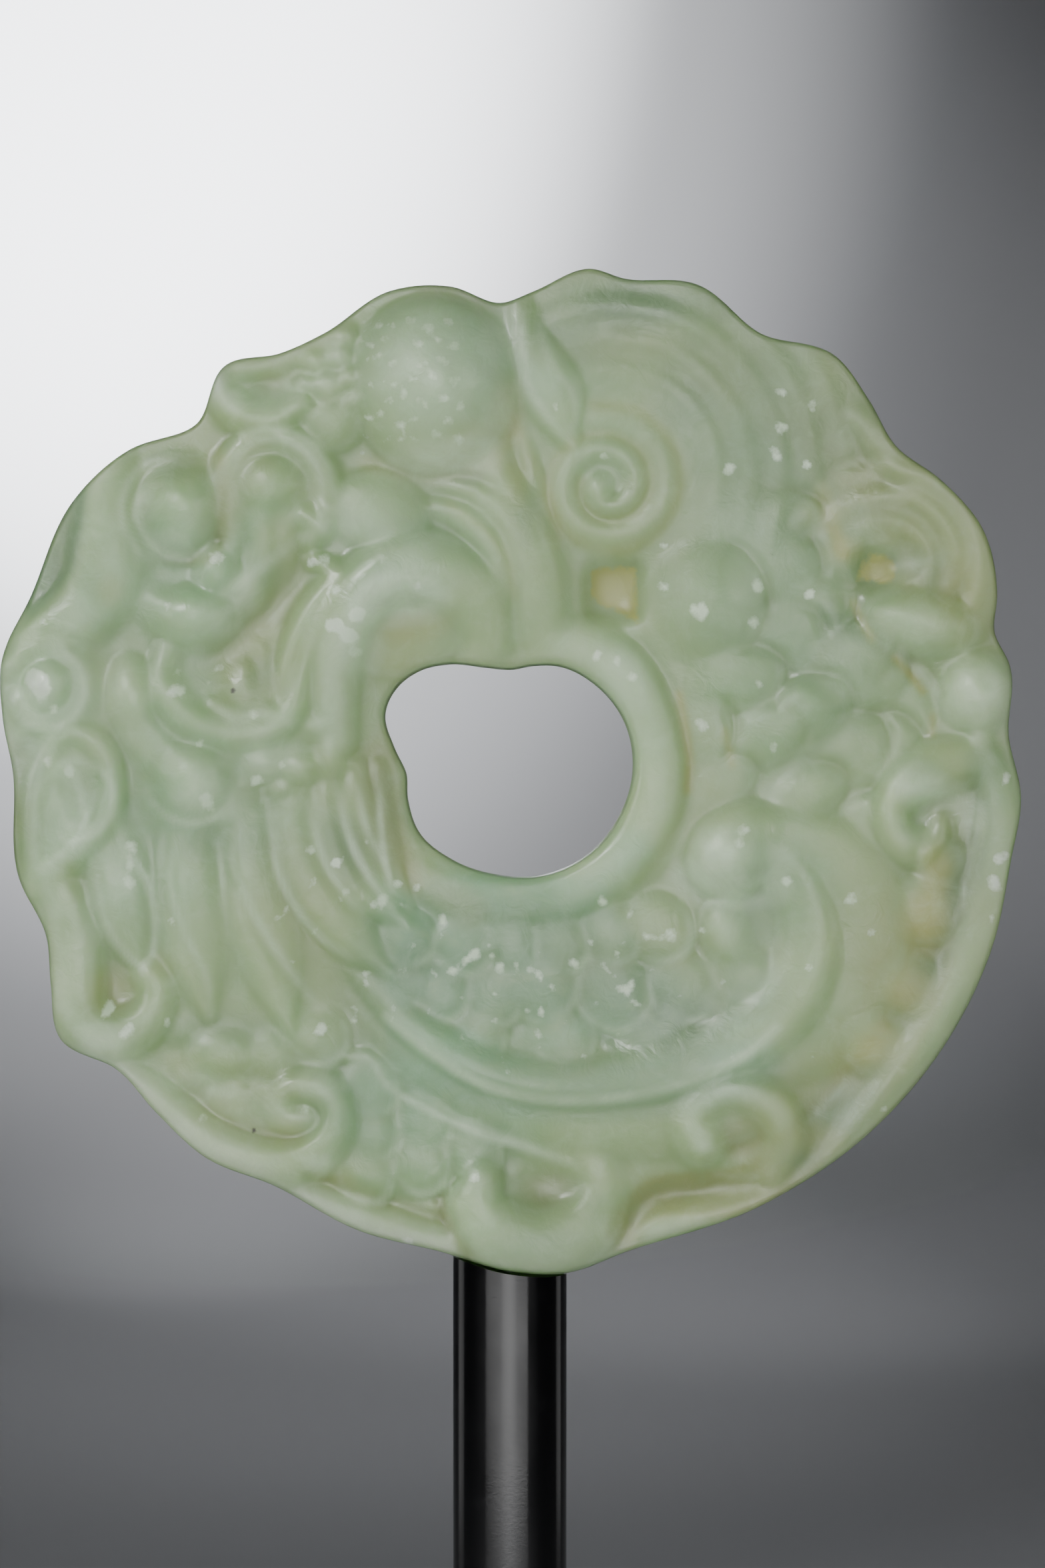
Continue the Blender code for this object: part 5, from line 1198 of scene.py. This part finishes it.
# Painted shade in the hollows and painted highlights on the crests, from the relief's cavities.
hollow = np.clip(-HOLLOW_OF_FINE * fine - HOLLOW_OF_BROAD * broad, 0, 1)
crest = np.clip(CREST_OF_FINE * fine + CREST_OF_BROAD * broad, 0, 1)
tones = {name: on_face(layer, face_x, face_z) for name, layer in stains.items()}
tones["moss_and_shade"] = MOSS_AND_SHADE_SHARE * tones["moss_and_shade"] + SHADE_IN_HOLLOWS * hollow
tones["milk_and_highlight"] = MILK_AND_HIGHLIGHT_SHARE * tones["milk_and_highlight"] + HIGHLIGHT_ON_CRESTS * crest

# The tones are whole on the face, fade over the edge, and are gone on the plain back.
on_front = np.clip((0.5 - side) / 1.5, 0, 1)
for name, amount in tones.items():
    layer = roundel.data.attributes.new(name, "FLOAT", "POINT")
    layer.data.foreach_set("value", np.clip(amount * on_front, 0, 1).astype(np.float32))


# THE ROD
# A solid round rod of black acrylic, turned and flame-polished, that carries the roundel. Its top
# is hollowed to the stone's lower edge, and its foot end sits in a blind hole in the foot.
ROD_SIDES = 128
ROD_TOP_CLEARANCE = 0.00004
SHARP_ANGLE = math.radians(40)
UNDERSIDE_ROUNDS = 6


def rim_underside(x):
    """The height of the roundel's lower edge over a place of the rod, found round by round."""
    aside = (x - disc_x) / disc_radius
    depth = 1.0
    for _ in range(UNDERSIDE_ROUNDS):
        turn = math.degrees(math.atan2(-depth, aside))
        far = float(round_edge(RIM, np.array([turn]))[0])
        depth = math.sqrt(max(far ** 2 - aside ** 2, 0))
    return disc_z - depth * disc_radius


def black_gloss_material(marks):
    """Black acrylic with a deep gloss, a little dust and hairline scratches."""
    material = bpy.data.materials.new("black_gloss")
    material.use_nodes = True
    tree = material.node_tree
    link = tree.links.new
    shader = tree.nodes["Principled BSDF"]
    place = add_node(tree, "ShaderNodeTexCoord", (-1200, 300))
    dust = add_node(tree, "ShaderNodeTexNoise", (-1000, 300))
    dust.inputs["Scale"].default_value = 420
    dust.inputs["Detail"].default_value = 6
    settle = add_node(tree, "ShaderNodeMapRange", (-800, 300))
    settle.inputs["From Min"].default_value = 0.58
    settle.inputs["From Max"].default_value = 0.78
    colour = add_node(tree, "ShaderNodeMix", (-500, 300), data_type="RGBA")
    colour.inputs["A"].default_value = paint(5, 5, 6)
    colour.inputs["B"].default_value = paint(22, 22, 23)
    link(place.outputs["Object"], dust.inputs["Vector"])
    link(dust.outputs["Fac"], settle.inputs["Value"])
    link(settle.outputs["Result"], colour.inputs["Factor"])
    link(colour.outputs["Result"], shader.inputs["Base Color"])
    add_polish(tree, marks, sizes=(180, 2600), roughness=(0.1, 0.18), strength=0.04, distance=0.00005)
    shader.inputs["IOR"].default_value = 1.49
    return material


black_gloss = black_gloss_material(polish)
rod_low, rod_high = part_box("stand_rod")
rod_radius = (rod_high.x - rod_low.x) / 2
rod_x = (rod_high.x + rod_low.x) / 2
rod_y = (rod_high.y + rod_low.y) / 2
bm = bmesh.new()
bmesh.ops.create_circle(bm, cap_ends=True, segments=ROD_SIDES, radius=rod_radius)
bmesh.ops.translate(bm, vec=(rod_x, rod_y, rod_low.z), verts=bm.verts)
sides = bmesh.ops.extrude_face_region(bm, geom=bm.faces[:])
top = [v for v in sides["geom"] if isinstance(v, bmesh.types.BMVert)]
for v in top:
    v.co.z = rim_underside(v.co.x) - ROD_TOP_CLEARANCE
bmesh.ops.recalc_face_normals(bm, faces=bm.faces)
rod = add_piece("black_rod", bm, black_gloss, "stand_rod")
rod.data.set_sharp_from_angle(angle=SHARP_ANGLE)


# THE FOOT
# A plain turned disc of the same black acrylic. Its upper edge is rounded, its lower edge is broken
# a little, and a blind hole in its middle holds the rod.
FOOT_SIDES = 160
FOOT_ROUNDING = 0.0012
FOOT_LOWER_ROUNDING = 0.2 * FOOT_ROUNDING
SOCKET_DEPTH = 0.005
SOCKET_GAP = 0.00006


def turned(profile, base, sides):
    """A mesh of revolution about the Z axis: a profile's distances and its heights over a base."""
    bm = bmesh.new()
    stops = [bm.verts.new((far, 0, base + up)) for far, up in profile]
    edges = [bm.edges.new(pair) for pair in zip(stops, stops[1:])]
    bmesh.ops.spin(bm, geom=stops + edges, cent=(0, 0, 0), axis=(0, 0, 1), angle=2 * math.pi,
                   steps=sides, use_merge=True)
    bmesh.ops.remove_doubles(bm, verts=bm.verts, dist=1e-7)
    bmesh.ops.recalc_face_normals(bm, faces=bm.faces)
    return bm


foot_low, foot_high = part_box("stand_foot")
foot_radius = (foot_high.x - foot_low.x) / 2
foot_height = foot_high.z - foot_low.z
foot_middle = foot_low.z + 0.5 * foot_height
socket_radius = rod_radius + SOCKET_GAP
bm = turned(((0, 0), (foot_radius, 0), (foot_radius, foot_height), (socket_radius, foot_height),
             (socket_radius, foot_height - SOCKET_DEPTH), (0, foot_height - SOCKET_DEPTH)),
            foot_low.z, FOOT_SIDES)
outer = [e for e in bm.edges if all(v.co.xy.length > 0.9 * foot_radius for v in e.verts)
         and abs(e.verts[0].co.z - e.verts[1].co.z) < 1e-6]
upper = [e for e in outer if e.verts[0].co.z > foot_middle]
lower = [e for e in outer if e.verts[0].co.z < foot_middle]
bmesh.ops.bevel(bm, geom=upper, offset=FOOT_ROUNDING, segments=6, profile=0.5, affect="EDGES",
                material=-1)
bmesh.ops.bevel(bm, geom=lower, offset=FOOT_LOWER_ROUNDING, segments=2, profile=0.5, affect="EDGES",
                material=-1)
foot = add_piece("black_foot", bm, black_gloss, "stand_foot")
foot.data.set_sharp_from_angle(angle=SHARP_ANGLE)


# THE STUDIO
# A plain pale floor that sweeps up into a wall all round, so that no edge of it shows from any
# side. The paper is clear from behind, so a low camera outside the wall still sees the roundel.
FLOOR_RADIUS = 0.7
SWEEP_RADIUS = 1.2
WALL_HEIGHT = 1.6
SWEEP_SIDES = 96
paper = bpy.data.materials.new("pale_paper")
paper.use_nodes = True
tree = paper.node_tree
shader = tree.nodes["Principled BSDF"]
shader.inputs["Base Color"].default_value = paint(194, 196, 200)
shader.inputs["Roughness"].default_value = 0.9
face_side = add_node(tree, "ShaderNodeNewGeometry", (-300, 500))
clear = add_node(tree, "ShaderNodeBsdfTransparent", (-300, -300))
one_sided = add_node(tree, "ShaderNodeMixShader", (150, 500))
tree.links.new(face_side.outputs["Backfacing"], one_sided.inputs["Fac"])
tree.links.new(shader.outputs["BSDF"], one_sided.inputs[1])
tree.links.new(clear.outputs["BSDF"], one_sided.inputs[2])
tree.links.new(one_sided.outputs["Shader"], tree.nodes["Material Output"].inputs["Surface"])
outline = [(0, 0)]
for angle in range(0, 91, 6):
    bend = math.radians(angle)
    outline.append((FLOOR_RADIUS + SWEEP_RADIUS * math.sin(bend), SWEEP_RADIUS * (1 - math.cos(bend))))
outline.append((FLOOR_RADIUS + SWEEP_RADIUS, WALL_HEIGHT))
bm = turned(outline, 0, SWEEP_SIDES)
bmesh.ops.reverse_faces(bm, faces=bm.faces)
sweep = add_mesh("studio_sweep", bm, paper)


def add_light(name, lamp, place, aim_at):
    """Hangs a lamp at a place and turns it towards another."""
    light = bpy.data.objects.new(name, lamp)
    light.location = place
    way = np.array(aim_at) - np.array(light.location)
    light.rotation_euler = (math.atan2(way[2], math.hypot(way[0], way[1])) + math.pi / 2, 0,
                            math.atan2(way[1], way[0]) - math.pi / 2)
    bpy.context.scene.collection.objects.link(light)
    return light


# Soft boxes light the stone from the front, from both sides and from low in front, and one lights
# the floor, which throws its light back up. Their narrow spread keeps them off the wall. Two small
# ones behind edge the rod. A faint one close behind shows through the stone's thin edges but not in
# its gloss, and the glint shows in the gloss alone. A row has the place, the aim, the size, the
# power and the spread.
for name, place, aim_at, size, power, spread in (
        ("front_light", (-0.03, -0.9, 0.15), (0, 0, 0.06), (0.45, 0.40), 0.50, 60),
        ("low_light", (-0.067, -0.3, 0.013), (-0.067, 0, 0.013), (0.58, 0.022), 0.11, 140),
        ("high_left_light", (-0.6, -0.6, 0.5), (0, 0, 0.06), (0.4, 0.4), 0.20, 50),
        ("left_light", (-0.4, -0.3, 0.12), (0, 0, 0.055), (0.3, 0.1), 0.08, 60),
        ("right_light", (0.6, -0.6, 0.2), (0, 0, 0.06), (0.3, 0.3), 0.08, 50),
        ("floor_bounce_light", (0.0, -0.28, 0.5), (0, -0.279, 0), (0.2, 0.2), 0.45, 40),
        ("rod_left_light", (-0.265, 0.141, 0.03), (0, 0, 0.025), (0.11, 0.16), 0.0040, 60),
        ("rod_right_light", (0.265, 0.141, 0.03), (0, 0, 0.025), (0.09, 0.16), 0.0026, 60),
        ("edge_glow_light", (0.01, 0.10, 0.105), (0, 0, 0.06), (0.12, 0.06), 0.03, 110),
        ("glint_light", (-0.28, -0.55, 0.36), (0, 0, 0.06), (0.07, 0.07), 0.22, 60)):
    lamp = bpy.data.lights.new(name, "AREA")
    lamp.shape = "RECTANGLE"
    lamp.size, lamp.size_y = size
    lamp.spread = math.radians(spread)
    lamp.energy = power
    light = add_light(name, lamp, place, aim_at)
    light.visible_camera = False
    light.visible_glossy = name != "edge_glow_light"
    light.visible_diffuse = name != "glint_light"

# Four soft-edged lamps hidden behind the roundel light the wall: bright at the upper left, falling
# off to the right and down. Two more, high over the floor behind it, even the floor's tone. A row
# has the place, the aim, the angle, how much taller than wide the beam is, and the power.
for name, place, aim_at, angle, tallness, power in (
        ("wall_glow", (-0.02, 0.2, 0.09), (-0.078, 1.37, 0.225), 10.8, 1.6, 730),
        ("wall_halo", (-0.02, 0.2, 0.09), (-0.07, 1.37, 0.212), 15, 1.5, 134),
        ("wall_fade", (-0.02, 0.2, 0.09), (-0.07, 1.37, 0.20), 17, 2.1, 42),
        ("wall_fill", (-0.02, 0.2, 0.09), (0.01, 1.37, 0.085), 24, 0.65, 21),
        ("floor_glow", (-0.015, 0.53, 1.2), (-0.015, 0.59, 0), 8, 4.4, 7.6),
        ("floor_far_glow", (0.02, 0.72, 1.2), (0.02, 0.745, 0), 9, 3, 6)):
    lamp = bpy.data.lights.new(name, "SPOT")
    lamp.energy = power
    lamp.spot_size = math.radians(angle)
    lamp.spot_blend = 1.0
    lamp.shadow_soft_size = 0.0
    light = add_light(name, lamp, place, aim_at)
    light.scale = (1, tallness, 1)

world = bpy.data.worlds.new("studio_air")
world.use_nodes = True
air = world.node_tree.nodes["Background"]
air.inputs["Color"].default_value = paint(236, 238, 240)
air.inputs["Strength"].default_value = 0.03
bpy.context.scene.world = world

# The camera stands level with the roundel's centre and looks straight at its face, as the
# photograph does, with a long lens that keeps the perspective flat.
CAMERA_DISTANCE = 0.55
FRAME_WIDTH = 0.05534
FRAME_CENTRE = (0.00067, 0.0603)
SENSOR_MILLIMETRES = 24
camera_data = bpy.data.cameras.new("camera")
camera_data.sensor_fit = "HORIZONTAL"
camera_data.sensor_width = SENSOR_MILLIMETRES
camera_data.lens = SENSOR_MILLIMETRES * CAMERA_DISTANCE / FRAME_WIDTH
camera = bpy.data.objects.new("camera", camera_data)
camera.location = (FRAME_CENTRE[0], -CAMERA_DISTANCE, FRAME_CENTRE[1])
camera.rotation_euler = (math.pi / 2, 0, 0)
bpy.context.scene.collection.objects.link(camera)
bpy.context.scene.camera = camera
